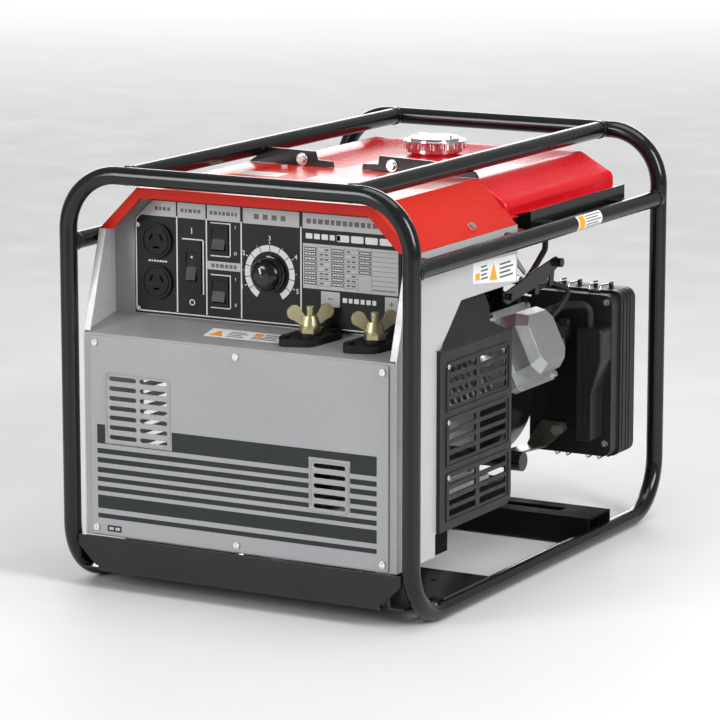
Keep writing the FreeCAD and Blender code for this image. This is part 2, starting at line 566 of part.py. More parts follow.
for i in range(18):
    q = box(-3, 3, 159, 301, 66, 86)
    q.rotate(V(0, 0, 0), V(0, 1, 0), 20 * i)
    q.translate(V(0, 0, CRANK_Z))
    core = core.cut(q)
put("stator_core", core)
put("stator_windings", ring("y", 93, 70, 140, 159.5, 0, CRANK_Z), ring("y", 93, 70, 300.5, 318, 0, CRANK_Z))
rot = fuse(cyl("y", 52, 162, 298, 0, CRANK_Z), box(-24, 24, 162, 298, CRANK_Z - 65, CRANK_Z + 65),
           box(-65, 65, 162, 298, CRANK_Z - 24, CRANK_Z + 24))
rot = rot.common(cyl("y", 65, 162, 298, 0, CRANK_Z))
put("rotor", cut(rot, cyl("y", 17.5, 150, 310, 0, CRANK_Z)))
fan = fuse(ring("y", 32, 17.5, 321, 340, 0, CRANK_Z), ring("y", 88, 17.5, 337, 340, 0, CRANK_Z))
for i in range(12):
    q = box(-1.2, 1.2, 322, 338, 30, 86)
    q.rotate(V(0, 0, 0), V(0, 1, 0), 30 * i)
    q.translate(V(0, 0, CRANK_Z))
    fan = fan.fuse(q)
put("cooling_fan", fan.removeSplitter())
ad = cut(fuse(cyl("y", ALT_R, 330, 352, 0, CRANK_Z)), cyl("y", 99, 329, 346, 0, CRANK_Z),
         cyl("y", 31, 320, 360, 0, CRANK_Z))
for i in range(6):
    q = box(-18, 18, 333, 343, 90, 120)
    q.rotate(V(0, 0, 0), V(0, 1, 0), 60 * i + 30)
    q.translate(V(0, 0, CRANK_Z))
    ad = ad.cut(q)
put("engine_adaptor", ad)

# ------------------------------------------------------------------ engine
cc = fuse(box(-80, 74, 352, 500, 78, 262), box(-90, 90, 362, 500, BT, 80))
cc = fil(cc, 14, lambda e: along("y")(e) and e.BoundBox.ZMin > 250)
cc = cut(cc, cyl("y", 62, 366, 486, 0, CRANK_Z), cyl("y", 30.0, 350, 370, 0, CRANK_Z), cyl("y", 30.0, 480, 505, 0, CRANK_Z),
         box(-60, 60, 366, 486, 92, 150), box(60, 75, 405, 451, 205, 235))


def tilt(s):
    s = s.copy()
    s.rotate(V(0, 0, 0), V(0, 1, 0), -CYL_TILT)
    s.translate(V(0, CYL_Y, CRANK_Z))
    return s


cyl_bore = tilt(cyl("x", 33.0, 40, 170, 0, 0))
cc = cc.cut(cyl_bore)
barrel = cyl("x", 43, 58, 158, 0, 0)
for i in range(8):
    barrel = barrel.fuse(rrect("yz", -50, 50, -50, 50, 12, 86 + 9.5 * i, 89 + 9.5 * i))
barrel = cut(tilt(barrel.removeSplitter()), cyl_bore, box(-80, 74, 352, 500, 60, 262))
barrel = sorted(barrel.Solids, key=lambda q: -q.Volume)[0]
oil_hole = cyl("x", 12.2, 60, 80, 470, 104)
drain_hole = cyl("x", 8.2, 60, 80, 412, 123)
cc = cut(cc, oil_hole, drain_hole)
put("crankcase", cc)
put("bearing_front", ring("y", 30.0, 19.45, 352, 364, 0, CRANK_Z))
put("bearing_rear", ring("y", 30.0, 19.45, 488, 500, 0, CRANK_Z))
crank = fuse(cyl("y", 17.45, 110, 346, 0, CRANK_Z), cyl("y", 19.4, 346, 405, 0, CRANK_Z),
             cyl("y", 46, 396, 412, 0, CRANK_Z), cyl("y", 46, 444, 460, 0, CRANK_Z),
             cyl("y", 15, 412, 444, 25, CRANK_Z), cyl("y", 19.4, 460, 512, 0, CRANK_Z), cyl("y", 12, 512, 566, 0, CRANK_Z))
put("crankshaft", crank)
put("cylinder", barrel)

head = rrect("yz", -48, 48, -46, 46, 10, 158, 188)
for v in (-38, -19, 0, 19, 38):
    head = head.fuse(box(160, 185, -56, 56, v - 1.5, v + 1.5))
head = fuse(head, rrect("yz", 40, 62, -18, 18, 5, 160, 186), rrect("yz", -62, -40, -18, 18, 5, 160, 186),
            rrect("yz", -56, 56, -54, 54, 12, 181, 188))
head = tilt(cut(head, cyl("x", 30, 150, 168, 0, 0), cyl("y", 11, 44, 70, 173, 0), cyl("y", 11, -70, -44, 173, 0)))
put("cylinder_head", head)


def octo(x, hy, hz, c):
    p = [(-hy, -hz + c), (-hy + c, -hz), (hy - c, -hz), (hy, -hz + c), (hy, hz - c), (hy - c, hz), (-hy + c, hz),
         (-hy, hz - c)]
    q = [V(x, a, b) for a, b in p]
    return Part.makePolygon(q + [q[0]])


vc = fuse(rrect("yz", -56, 56, -54, 54, 12, 188, 192), Part.makeLoft([octo(192, 46, 44, 16), octo(216, 44, 42, 15)], True),
          Part.makeLoft([octo(216, 44, 42, 15), octo(230, 36, 33, 12)], True))
vc = vc.cut(Part.makeLoft([octo(187.9, 42, 40, 14), octo(225, 32, 29, 11)], True))
VC_BOLTS = ((-49.5, -47.5), (49.5, -47.5), (49.5, 47.5), (-49.5, 47.5))
for y, z in VC_BOLTS:
    put("valve_cover_bolts", tilt(fuse(hexa("x", 8, 192, 196.5, y, z), cyl("x", 2.6, 180, 192, y, z))))
    vc = vc.cut(cyl("x", 2.6, 187, 193, y, z))
put("valve_cover", tilt(vc))
hh = N["cylinder_head"][0]
for y, z in VC_BOLTS:
    hh = hh.cut(tilt(cyl("x", 2.6, 179, 189, y, z)))
# spark plug in the front upper corner of the head
plug = tilt(fuse(hexa("z", 17, 46, 56, 172, -26), cyl("z", 6.5, 30, 46, 172, -26), cyl("z", 5.2, 56, 84, 172, -26)))
hh = hh.cut(tilt(cyl("z", 6.5, 29, 47, 172, -26))).cut(tilt(cyl("z", 11, 46, 60, 172, -26)))
N["cylinder_head"] = [hh]
put("spark_plug", plug)
cap = tilt(cut(fuse(cyl("z", 9.5, 60, 98, 172, -26), cyl("x", 6.5, 140, 172, -26, 91)), cyl("z", 5.3, 50, 84, 172, -26),
               cyl("z", 10.6, 50, 57, 172, -26)))
put("plug_cap", cap)

# carburettor behind the head, hose on to the air cleaner
carb_c = (math.cos(math.radians(CYL_TILT)) * 173, CRANK_Z + math.sin(math.radians(CYL_TILT)) * 173)   # X, Z of port
cx, cz = carb_c
y0 = CYL_Y + 62.0
carb = fuse(rrect("xz", cx - 28, cx + 28, cz - 15, cz + 15, 6, y0, y0 + 5), cyl("y", 16, y0 + 5, 534, cx, cz),
            rrect("xz", cx - 19, cx + 19, cz - 19, cz + 17, 4, y0 + 12, 526), cyl("z", 19, cz - 44, cz - 18, cx, 509),
            cyl("z", 5, cz - 50, cz - 43, cx, 509), rrect("xz", cx - 24, cx + 24, cz - 14, cz + 14, 6, 529, 534))
carb = cut(carb, cyl("y", 10.5, y0 - 1, 540, cx, cz), cyl("x", 3.05, cx - 30, cx + 30, 521, cz))
carb = fuse(carb, cyl("x", 6.0, cx + 15, cx + 34, 502, cz + 2), cyl("x", 5.0, cx + 15, cx + 30, 506, cz - 12))
carb = cut(carb, cyl("x", 2.6, cx + 22, cx + 36, 502, cz + 2), cyl("x", 2.1, cx + 20, cx + 32, 506, cz - 12))
put("carburettor", carb)
put("carb_screws", bolt("x", 1, 2.5, 12, 5.0, 502, cz + 2, cx + 34, 10), bolt("x", 1, 2.0, 8, 3.6, 506, cz - 12, cx + 30, 8))
put("choke_lever", fuse(cyl("x", 3.0, cx - 10.2, cx + 27, 521, cz), poly("yz", [(516.5, cz), (516.5, cz - 4), (525.5, cz - 4), (525.5, cz + 4), (523, cz + 30), (519, cz + 30), (516.5, cz + 6)], cx + 25, cx + 28),
                        cyl("x", 4.5, cx + 28, cx + 38, 521, cz + 26)))
hose_in = cut(fuse(ring("y", 17, 12, 534.2, 577, cx, cz)), cyl("y", 12, 530, 580, cx, cz))
put("intake_hose", hose_in)

# blower housing, flywheel and recoil starter at the rear
bh = ring("y", 122, 120.5, 506, 572, 0, CRANK_Z)
bh = fuse(bh, ring("y", 122, 42, 500.2, 506, 0, CRANK_Z), ring("y", 122, 72, 570.5, 572, 0, CRANK_Z))
duct = box(60, 118, 506, 570, 236, 292)
duct_in = box(50, 125, 507.5, 568.5, 237.5, 290.5)
bh = fuse(bh, duct.cut(cyl("y", 121, 490, 580, 0, CRANK_Z))).cut(duct_in.cut(cyl("y", 122, 490, 580, 0, CRANK_Z)))
put("blower_housing", bh)
fw = fuse(ring("y", 96, 12, 516, 532, 0, CRANK_Z), ring("y", 34, 12, 532, 548, 0, CRANK_Z))
for i in range(14):
    q = box(-1.5, 1.5, 531, 556, 60, 104)
    q.rotate(V(0, 0, 0), V(0, 1, 0), 360.0 / 14 * i)
    q.translate(V(0, 0, CRANK_Z))
    fw = fw.fuse(q)
put("flywheel", fw.removeSplitter())
put("starter_cup", fuse(ring("y", 38, 12, 550, 552, 0, CRANK_Z), ring("y", 38, 36, 552, 568, 0, CRANK_Z)))
rc_o = Part.makeLoft([Part.Wire(Part.Circle(V(0, 572, CRANK_Z), V(0, 1, 0), 96).toShape()),
                      Part.Wire(Part.Circle(V(0, 600, CRANK_Z), V(0, 1, 0), 90).toShape()),
                      Part.Wire(Part.Circle(V(0, 612, CRANK_Z), V(0, 1, 0), 74).toShape())], True, True)
rc_i = Part.makeLoft([Part.Wire(Part.Circle(V(0, 571, CRANK_Z), V(0, 1, 0), 94).toShape()),
                      Part.Wire(Part.Circle(V(0, 599, CRANK_Z), V(0, 1, 0), 88).toShape()),
                      Part.Wire(Part.Circle(V(0, 610, CRANK_Z), V(0, 1, 0), 72).toShape())], True, True)
rcase = rc_o.cut(rc_i)
for i in range(16):
    q = box(-3, 3, 600, 620, 40, 66)
    q.rotate(V(0, 0, 0), V(0, 1, 0), 22.5 * i)
    q.translate(V(0, 0, CRANK_Z))
    rcase = rcase.cut(q)
rcase = fuse(rcase, cyl("y", 8, 580, 611, 0, CRANK_Z))
ROPE_Z = 246.0
rcase = fuse(rcase, cyl("x", 11, -96, -60, 590, ROPE_Z).cut(rc_i)).cut(cyl("x", 4.5, -110, -50, 590, ROPE_Z))
put("recoil_case", rcase)
put("recoil_pulley", cut(fuse(ring("y", 58, 8.05, 582, 584, 0, CRANK_Z), ring("y", 52, 8.05, 584, 594, 0, CRANK_Z),
                              ring("y", 58, 8.05, 594, 596, 0, CRANK_Z))))
grip = cyl("y", 8.5, 566, 614, -118, ROPE_Z).fuse(cyl("x", 7.5, -116, -98, 590, ROPE_Z))
grip = fuse(grip, cyl("x", 2.5, -98, -62, 590, ROPE_Z))
put("recoil_handle", grip)

# oil filler cap and drain stub on the right of the crankcase
put("oil_filler_cap", cut(fuse(cyl("x", 12.1, 60, 74, 470, 104), cyl("x", 17, 74, 78, 470, 104), box(78, 90, 455, 485, 101, 107))))
put("drain_pipe", cut(fuse(cyl("x", 8.2, 62, 74, 412, 123), cyl("x", 10.5, 74, 181, 412, 123)), cyl("x", 6.5, 60, 183, 412, 123)))
put("drain_cap", fuse(ring("x", 12.5, 10.5, 165, 181, 412, 123), cyl("x", 12.5, 181, 184, 412, 123)))

# muffler above the alternator, with its elbow from the head
muf = fil(box(-120, 100, 205, 322, 312, 385), 22, along("x"))
muf_in = fil(box(-118, 98, 207, 320, 314, 383), 20, along("x"))
px, pz = cx, cz
muf_h = cyl("y", 9, 300, 330, 82, 345)
tail = ring("x", 13, 11.5, -180, -120, 262, 350)
put("muffler", fuse(cut(muf, muf_in, muf_h, cyl("x", 11.5, -125, -115, 262, 350)), tail))
ex = pipe([(px, CYL_Y - 62, pz), (px, CYL_Y - 82, pz), (82, CYL_Y - 82, 345), (82, 318, 345)], 14, 9, 7.5)
ex_flange = rrect("xz", px - 24, px + 24, pz - 14, pz + 14, 6, CYL_Y - 66, CYL_Y - 62).cut(cyl("y", 10, 340, 380, px, pz))
put("exhaust_elbow", fuse(ex.cut(cyl("y", 30, 300, 322, 82, 345)), ex_flange))

# ------------------------------------------------------------- air cleaner
ax0, ax1, ay0, ay1, az0, az1 = AC
AY_S = 606.0            # split between case and cover
case = fil(box(ax0, ax1 - 4, ay0, AY_S, az0 + 3, az1 - 3), 12, along("y"))
case = fuse(case, fil(box(ax0 - 1, ax1 - 1, AY_S - 7, AY_S, az0, az1), 12, along("y")))
case_in = fil(box(ax0 + 2.5, ax1 - 6.5, ay0 + 2.5, AY_S + 1, az0 + 5.5, az1 - 5.5), 10, along("y"))
DUCT_Y = 546.0
duct_f = poly("xz", [(193, 127), (217, 127), (217, 190), (230, 236), (230, 278), (193, 278)], DUCT_Y, ay0 + 1)
duct_f = fil(duct_f, 5, along("y"))
duct_f = fil(duct_f, 2.5, lambda e: e.BoundBox.YMax < DUCT_Y + 0.01)
for gx in (201.0, 209.5):
    duct_f = duct_f.cut(box(gx - 0.6, gx + 0.6, DUCT_Y - 1, DUCT_Y + 1.0, 138, 268))
duct_in = poly("xz", [(196, 130), (214, 130), (214, 191), (227, 237), (227, 275), (196, 275)], DUCT_Y + 3, ay0 + 3)
case = fuse(cut(fuse(case, duct_f), case_in, duct_in, cyl("z", 4.2, 270, 280, 206, 561)), ring("y", 11.9, 10.5, ay0 - 11, ay0 + 3, cx, cz)).cut(cyl("y", 10.5, 560, 585, cx, cz))
put("air_cleaner_case", case)
cover = fil(box(ax0 + 1, ax1, AY_S, ay1, az0, az1), 14, along("y"))
groove = cut(box(0, 300, AY_S + 8, AY_S + 11, 0, 400), fil(box(ax0 + 3, ax1 - 2, 0, 700, az0 + 2, az1 - 2), 12, along("y")))
groove2 = cut(box(0, 300, AY_S + 17, AY_S + 20, 0, 400), fil(box(ax0 + 3, ax1 - 2, 0, 700, az0 + 2, az1 - 2), 12, along("y")))
cover_in = fil(box(ax0 + 4.5, ax1 - 4.5, AY_S - 1, ay1 - 3, az0 + 4.5, az1 - 4.5), 11, along("y"))
put("air_cleaner_cover", cut(cover, groove, groove2, cover_in))
put("air_filter_element", box(ax0 + 8, ax1 - 12, 596, 626, az0 + 12, az1 - 12).cut(
    box(ax0 + 30, ax1 - 34, 595, 616, az0 + 34, az1 - 34)))
CLIPS = [("top_left", 150.0, 1), ("top_right", 196.0, 1), ("bottom_left", 150.0, -1), ("bottom_right", 196.0, -1)]
for nm, x, s in CLIPS:
    z = az1 if s > 0 else az0
    lug = box(x - 13, x - 10, 620, 628, z, z + 7) if s > 0 else box(x - 13, x - 10, 620, 628, z - 7, z)
    lug2 = lug.copy()
    lug2.translate(V(23, 0, 0))
    pz_ = z + s * 4.0
    N["air_cleaner_cover"][0] = fuse(N["air_cleaner_cover"][0], lug, lug2).cut(cyl("x", 1.25, x - 14, x + 14, 624, pz_))
    w = pipe([(x - 13.5, 624, pz_), (x - 8, 624, pz_), (x - 8, 598, z + s * 6.0), (x - 8, 594.5, z - s * 1.2),
              (x + 8, 594.5, z - s * 1.2), (x + 8, 598, z + s * 6.0), (x + 8, 624, pz_), (x + 13.5, 624, pz_)], 2.2, 1.15)
    put("clip_" + nm, w)
for z in (142.0 - 22, 310.0):
    put("case_screws", bolt("y", -1, 2.0, 9, 2.5, 229 - 6, z, ay0, 6, "pan"))
    N["air_cleaner_case"][0] = N["air_cleaner_case"][0].cut(cyl("y", 2.0, ay0 - 1, ay0 + 7, 223, z))

# stay from the crankcase to the air cleaner
stay = fuse(poly("xz", [(108, 106), (115.6, 121.6), (129.4, 143), (166, 143), (168, 134.4), (154.3, 122), (137, 106)], ay0 - 2.5, ay0),
            poly("xy", [(76.5, 426), (76.5, 449), (94, 451), (97, 489), (108, ay0), (137, ay0), (120, 500), (108, 440), (94, 426)],
                 106, 108.5), box(74, 76.5, 426, 449, 94, 112))
put("air_cleaner_stay", stay.cut(cyl("y", 4.2, 560, 580, 154, 132.5)))
put("stay_bolt", bolt("y", -1, 4.0, 13, 6, 154, 132.5, ay0 - 2.5, 2.4))

# breather hose from the head to the air cleaner duct
br = pipe([(153, 484.05, 293), (153, 503, 293), (158, 522, 299), (172, 550, 305), (206, 561, 308), (206, 561, 272.5)], 11, 5.2, 3.6)
br = br.cut(cyl("z", 6.0, 270, 278.05, 206, 561).cut(cyl("z", 4.15, 269, 279, 206, 561)))
put("breather_hose", br)
put("vent_hose", pipe([(173, 459.1, 341), (173.5, 512, 342), (187, 545, 329), (176, 524, 302), (170, 513, 292), (170, 513, 280.2)], 9, 3.4, 2.0))

# ------------------------------------------------------- louvre cover, right
LX0, LX1 = 222.4, 225.0
face = fuse(rrect("yz", 101, 294, 98, 323, 16, LX0, LX1), box(LX0, LX1, 101, 140, 98, 323), box(LX0, LX1, 101, 294, 290, 323))
ret = cut(fuse(rrect("yz", 101, 294, 98, 323, 16, BODY_X, LX1), box(BODY_X, LX1, 101, 140, 98, 323)),
          rrect("yz", 103.4, 291.6, 100.4, 330, 14, BODY_X - 1, LX1 + 1))
top = poly("xz", [(LX1, 322), (LX1 - 2.6, 320), (206.5, 372), (208.8, 373)], 98, 292)
top = top.common(poly("yz", [(102.5, 312), (102.5, 314.6), (164.5, 374), (243, 374), (248.5, 367), (250.5, 356), (247, 346),
                             (243, 338), (262, 330), (280, 322.5), (287, 316), (287, 300)], 150, 260))
ledge = box(LX1 - 1, LX1 + 1.0, 103, 292, 318, 321)
lou = fuse(face, ret, top, ledge)
rows = []
for s in range(3):
    zc = 275.0 - 68.5 * s
    fr = rrect("yz", 117, 287, zc - 31, zc + 31, 6, LX1, LX1 + 1.4).cut(rrect("yz", 119.5, 284.5, zc - 28.5, zc + 28.5, 4, LX1 - 1, LX1 + 3))
    lou = lou.fuse(fr)
    for i in range(4):
        z = zc + (1.5 - i) * 13.4
        for u0, u1 in ((126, 197), (207, 279)):
            rows.append(rrect("yz", u0, u1, z - 4.1, z + 4.1, 1.5, LX0 - 2, LX1 + 3))
lou = cut(lou.removeSplitter(), *rows)
for z in (301, 232, 163.5):
    lou = lou.cut(cyl("x", 1.8, 215, 230, 121, z)).cut(cyl("x", 4.0, LX1, LX1 + 3, 121, z))
    put("louvre_screws", bolt("x", 1, 1.5, 6.5, 2.0, 121, z, LX1, 9, "pan"))
put("louvre_cover", lou)
put("louvre_bracket", fuse(box(95, 206, 128, 158, BT - 3, BT - 1), box(204, 206, 128, 158, BT - 3, 112),
                           box(204, IN_X, 128, 135, 110, 112)))

# ------------------------------------------------------------------- tank
FL0, FL1 = 453.6, 456.0
up_o = poly("xz", [(-203, FL1), (-203, 474), (-156, 500), (156, 500), (203, 474), (203, FL1)], TANK_Y0, TANK_Y1)
up_o = fil(up_o, 14, lambda e: along("y")(e) and e.BoundBox.ZMin > 470)
up_o = fil(up_o, 9, lambda e: not along("y")(e) and e.BoundBox.ZMin > 470 and e.BoundBox.YLength < 1)
up_i = poly("xz", [(-200, FL1 - 0.01), (-200, 470), (-154, 496.5), (154, 496.5), (200, 470), (200, FL1 - 0.01)],
            TANK_Y0 + 4, TANK_Y1 - 4)
lo_o = rrect("xy", -184, 184, 332, 632, 26, 408, FL0)
lo_o = fil(lo_o, 10, lambda e: abs(e.BoundBox.ZMax - 408) < 0.01)
lo_i = rrect("xy", -181, 181, 335, 629, 23, 411, FL1 + 0.01)
flg = rrect("xy", -209, 209, TANK_Y0 - 2.5, TANK_Y1 + 3, 12, FL0, FL1)
tank = cut(fuse(up_o, flg, lo_o, ring("z", 31, 26, 498, 506, 0, CAP_Y)), up_i, lo_i, cyl("z", 26, 490, 510, 0, CAP_Y),
           cyl("z", 2.2, 400, 415, 126, 590))
fcap = fuse(cyl("z", 41, 509, 519.5, 0, CAP_Y), cyl("z", 33, 519.5, 523, 0, CAP_Y), ring("z", 36.5, 33.5, 504, 509, 0, CAP_Y))
for i in range(16):
    q = cyl("z", 4.4, 500, 517.5, 42.5, 0)
    q.rotate(V(0, 0, 0), V(0, 0, 1), 22.5 * i)
    q.translate(V(0, CAP_Y, 0))
    fcap = fcap.cut(q)
fcap = fuse(fcap, box(-24, 24, CAP_Y - 3.2, CAP_Y + 3.2, 523, 526.5))
put("fuel_cap", fcap)


for nm, s in (("left", -1), ("right", 1)):
    a = fuse(box(225, 226.6, 341, 620, 437, 462), box(190, 225, 341, 620, 452, FL0),
             poly("xz", [(192, 453.6), (226.6, 462), (226.6, 438), (206, 440), (192, 452)], 341, 342.6))
    tabs = fuse(box(226.6, 236, 358, 384, 437, 446), box(226.6, 236, 578, 604, 437, 446)).cut(
        cyl("y", TUBE_R, 0, 700, HOOP_X, MID_Z))
    a = fuse(a, *[q for q in tabs.Solids if q.BoundBox.XMin < 227])
    a = a.cut(up_o).cut(flg)
    a = sorted(a.Solids, key=lambda q: -q.Volume)[0]
    if s < 0:
        a = mirx(a)
    put("tank_rail_" + nm, a)

# hanger plates from the top rails down to the front of the tank
env_l = cyl("y", TUBE_R + 0.0, 0, 700, -TOP_RAIL_X, HOOP_TOP)
env_r = cyl("y", TUBE_R + 0.0, 0, 700, TOP_RAIL_X, HOOP_TOP)
hl = poly("xz", [(-165, 503.4), (-40, 503.4), (-42, 511), (-64, 512), (-67, 522.5), (-139, 524), (-150, 514)], 311, 314)
hl = fuse(hl, poly("xz", [(-120, 462), (-52, 462), (-52, 503.4), (-120, 503.4)], 315.3, 317.0), box(-120, -52, 311, 317, 503.4, 505.4)).cut(env_l)
hr = poly("xz", [(1.5, 503.4), (168, 503.4), (163, 511), (150, 513), (100, 521), (27, 523), (25, 512), (3, 511)], 311, 314)
hr = fuse(hr, poly("xz", [(12, 462), (80, 462), (80, 503.4), (12, 503.4)], 315.3, 317.0), box(12, 80, 311, 317, 503.4, 505.4)).cut(env_r)
for nm, h, bx in (("left", hl, -85.4), ("right", hr, 45.5)):
    h = sorted(h.Solids, key=lambda q: -q.Volume)[0]
    h = h.cut(cyl("y", 3.3, 305, 320, bx, 511.5))
    put("tank_hanger_" + nm, h)
    put("hanger_bolts", bolt("y", -1, 3.2, 10, 5, bx, 511.5, 309.0, 5.0), ring("y", 8.0, 3.25, 309.0, 311.0, bx, 511.5))
put("fuel_tank", tank)

# hose from the tank outlet to the carburettor bowl
put("fuel_hose", pipe([(126, 590, 407.9), (126, 590, 372), (126, 556, 350), (126, 509, 326), (126, 509, cz - 30), (cx - 19.1, 509, cz - 30)],
                      8, 4.0, 2.2))

# throttle bracket over the head with slow-down solenoid and governor lever
leg = box(112, 132, 452, 455, 292, 348).cut(tilt(box(60, 188, -62, 62, -50.0, 50.0)))
leg = sorted(leg.Solids, key=lambda q: -q.Volume)[0]
arm = poly("yz", [(354, 351), (356, 343), (368, 336), (440, 345), (480, 352), (519, 366), (519, 372), (508, 378), (500, 377),
                  (430, 366), (395, 358)], 180, 182.5)
strap = poly("yz", [(492, 340), (504, 340), (510, 376), (498, 374)], 177.5, 180)
tb = fuse(box(92, 132, 425, 500, 348, 351), box(132, 180, 446, 488, 348, 351), box(120, 123, 470, 500, 351, 392), leg, arm, strap,
          box(170, 182, 447, 459, 336, 348), cyl("x", 6.0, 182.5, 190, 510, 370), cyl("x", 4.5, 182.5, 188, 371, 345))
put("throttle_bracket", tb.cut(cyl("x", 3.05, 115, 125, 486, 384)))
put("slowdown_solenoid", fuse(cyl("y", 13, 427, 466, 106, 364), cyl("y", 5, 466, 472, 106, 364), cyl("y", 2.5, 472, 484, 106, 364)))
put("governor_lever", fuse(cyl("x", 3.0, 110, 134, 486, 384),
                           poly("yz", [(481, 384), (490, 380), (524, 352), (522, 347), (486, 372)], 128, 130.5)))

# ------------------------------------------- welding reactor and rectifier
TZ = TRAY_Z + TRAY_T
re = fuse(box(-178, -58, 20, 30, TZ, 40), box(-178, -58, 90, 100, TZ, 40), cut(box(-178, -58, 24, 96, 40, 150), box(-148, -88, 10, 110, 66, 124)))
put("reactor_core", re)
put("reactor_coil", fil(box(-146, -90, 12, 108, 68, 122), 6, along("y")))
hs = box(66, 176, 60, 66, TZ, 120)
for i in range(12):
    hs = hs.fuse(box(68 + 9 * i, 70.5 + 9 * i, 40, 60, TZ, 120))
put("rectifier_heatsink", hs.removeSplitter())
put("rectifier_modules", box(76, 110, 66, 82, 40, 100), box(130, 164, 66, 82, 40, 100))
put("control_board", box(-60, 60, 106, 108, 352, 452), box(-40, -10, 98, 106, 380, 410), box(14, 44, 96, 106, 420, 440))

# -------------------------------------------------------------------- write
GROUPS = {
    "side_rails": ["bottom_rail_left", "bottom_rail_right", "mid_rail_left", "mid_rail_right", "top_rail_left",
                   "top_rail_right"],
    "rubber_mounts": ["rubber_mounts", "body_bushes"],
    "fasteners": ["mount_plates", "mount_bolts", "mount_nuts", "panel_screws", "plate_screws", "cover_bolts",
                  "louvre_screws", "case_screws", "carb_screws", "hanger_bolts", "valve_cover_bolts", "stay_bolt"],
    "engine_bed": ["engine_bed", "louvre_bracket"],
    "outlets": ["outlet_upper", "outlet_lower"],
    "switch_bodies": ["breaker_body", "slowdown_switch_body", "frequency_switch_body"],
    "slowdown_rocker": ["slowdown_switch_rocker"],
    "frequency_rocker": ["frequency_switch_rocker"],
    "control_board": ["control_board", "dial_regulator"],
    "current_knob": ["current_knob", "dial_shaft"],
    "terminal_bases": ["terminal_base_neg", "terminal_base_pos", "terminal_screws"],
    "terminal_studs": ["terminal_stud_neg", "terminal_stud_pos", "terminal_nuts", "clamp_washer_neg",
                       "clamp_washer_pos"],
    "alternator_housing": ["alternator_housing", "alternator_end_bracket", "engine_adaptor"],
    "laminated_cores": ["stator_core", "reactor_core"],
    "copper_windings": ["stator_windings", "reactor_coil"],
    "crankshaft": ["crankshaft", "starter_cup"],
    "bearings": ["alternator_bearing", "bearing_front", "bearing_rear"],
    "cylinder_and_head": ["cylinder", "cylinder_head"],
    "spark_plug": ["spark_plug", "plug_cap"],
    "throttle_bracket": ["throttle_bracket", "slowdown_solenoid"],
    "hoses": ["intake_hose", "breather_hose", "vent_hose", "fuel_hose"],
    "drain_pipe": ["drain_pipe", "drain_cap"],
    "muffler": ["muffler", "exhaust_elbow"],
    "clips_top": ["clip_top_left", "clip_top_right"],
    "clips_bottom": ["clip_bottom_left", "clip_bottom_right"],
    "tank_brackets": ["tank_rail_left", "tank_rail_right", "tank_hanger_left", "tank_hanger_right"],
    "rectifier": ["rectifier_heatsink", "rectifier_modules"],
}


def grouped():
    used = set()
    out = {}
    for g, names in GROUPS.items():
        out[g] = []
        for n in names:
            for sh in N[n]:
                out[g].extend(sh.Solids)
            used.add(n)
    for n, shapes in N.items():
        if n in used:
            continue
        out[n] = []
        for sh in shapes:
            out[n].extend(sh.Solids)
    return out


if __name__ == "__main__":
    os.makedirs("parts", exist_ok=True)
    for name, sol in grouped().items():
        c = Part.makeCompound(sol) if len(sol) > 1 else sol[0]
        c = c.copy()
        c.translate(V(0, SHIFT_Y, 0))
        c.exportStep("parts/%s.step" % name)
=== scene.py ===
import json
import math

import bmesh
import bpy
from mathutils import Matrix, Vector


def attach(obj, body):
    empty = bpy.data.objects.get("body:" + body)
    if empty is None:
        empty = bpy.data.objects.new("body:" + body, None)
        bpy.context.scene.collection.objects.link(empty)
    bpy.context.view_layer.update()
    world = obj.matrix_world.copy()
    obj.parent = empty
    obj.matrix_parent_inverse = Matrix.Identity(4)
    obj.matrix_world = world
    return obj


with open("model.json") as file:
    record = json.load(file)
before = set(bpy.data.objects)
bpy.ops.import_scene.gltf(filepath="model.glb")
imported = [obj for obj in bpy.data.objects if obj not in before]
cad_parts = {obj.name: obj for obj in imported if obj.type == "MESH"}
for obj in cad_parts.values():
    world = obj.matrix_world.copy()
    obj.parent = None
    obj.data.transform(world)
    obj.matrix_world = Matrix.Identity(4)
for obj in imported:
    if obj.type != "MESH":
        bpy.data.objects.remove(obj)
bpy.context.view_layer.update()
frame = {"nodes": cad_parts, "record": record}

SY = -0.350                     # row frame Y = Y from the front hoop plane - 350 mm
scene = bpy.context.scene


def P(x, y, z):
    """millimetres from the front hoop plane to metres in the row frame"""
    return Vector((x / 1000.0, y / 1000.0 + SY, z / 1000.0))


# ------------------------------------------------------------------ camera
cam_d = bpy.data.cameras.new("camera")
cam_d.lens = 179.4
cam_d.sensor_width = 36.0
cam_d.clip_start = 0.05
cam_d.clip_end = 60.0
cam_d.dof.use_dof = False
cam = bpy.data.objects.new("camera", cam_d)
cam.location = (2.1883, -4.0050, 1.1256)
cam.rotation_euler = (math.radians(90 - 10.859), 0.0, math.radians(28.902))
scene.collection.objects.link(cam)
scene.camera = cam


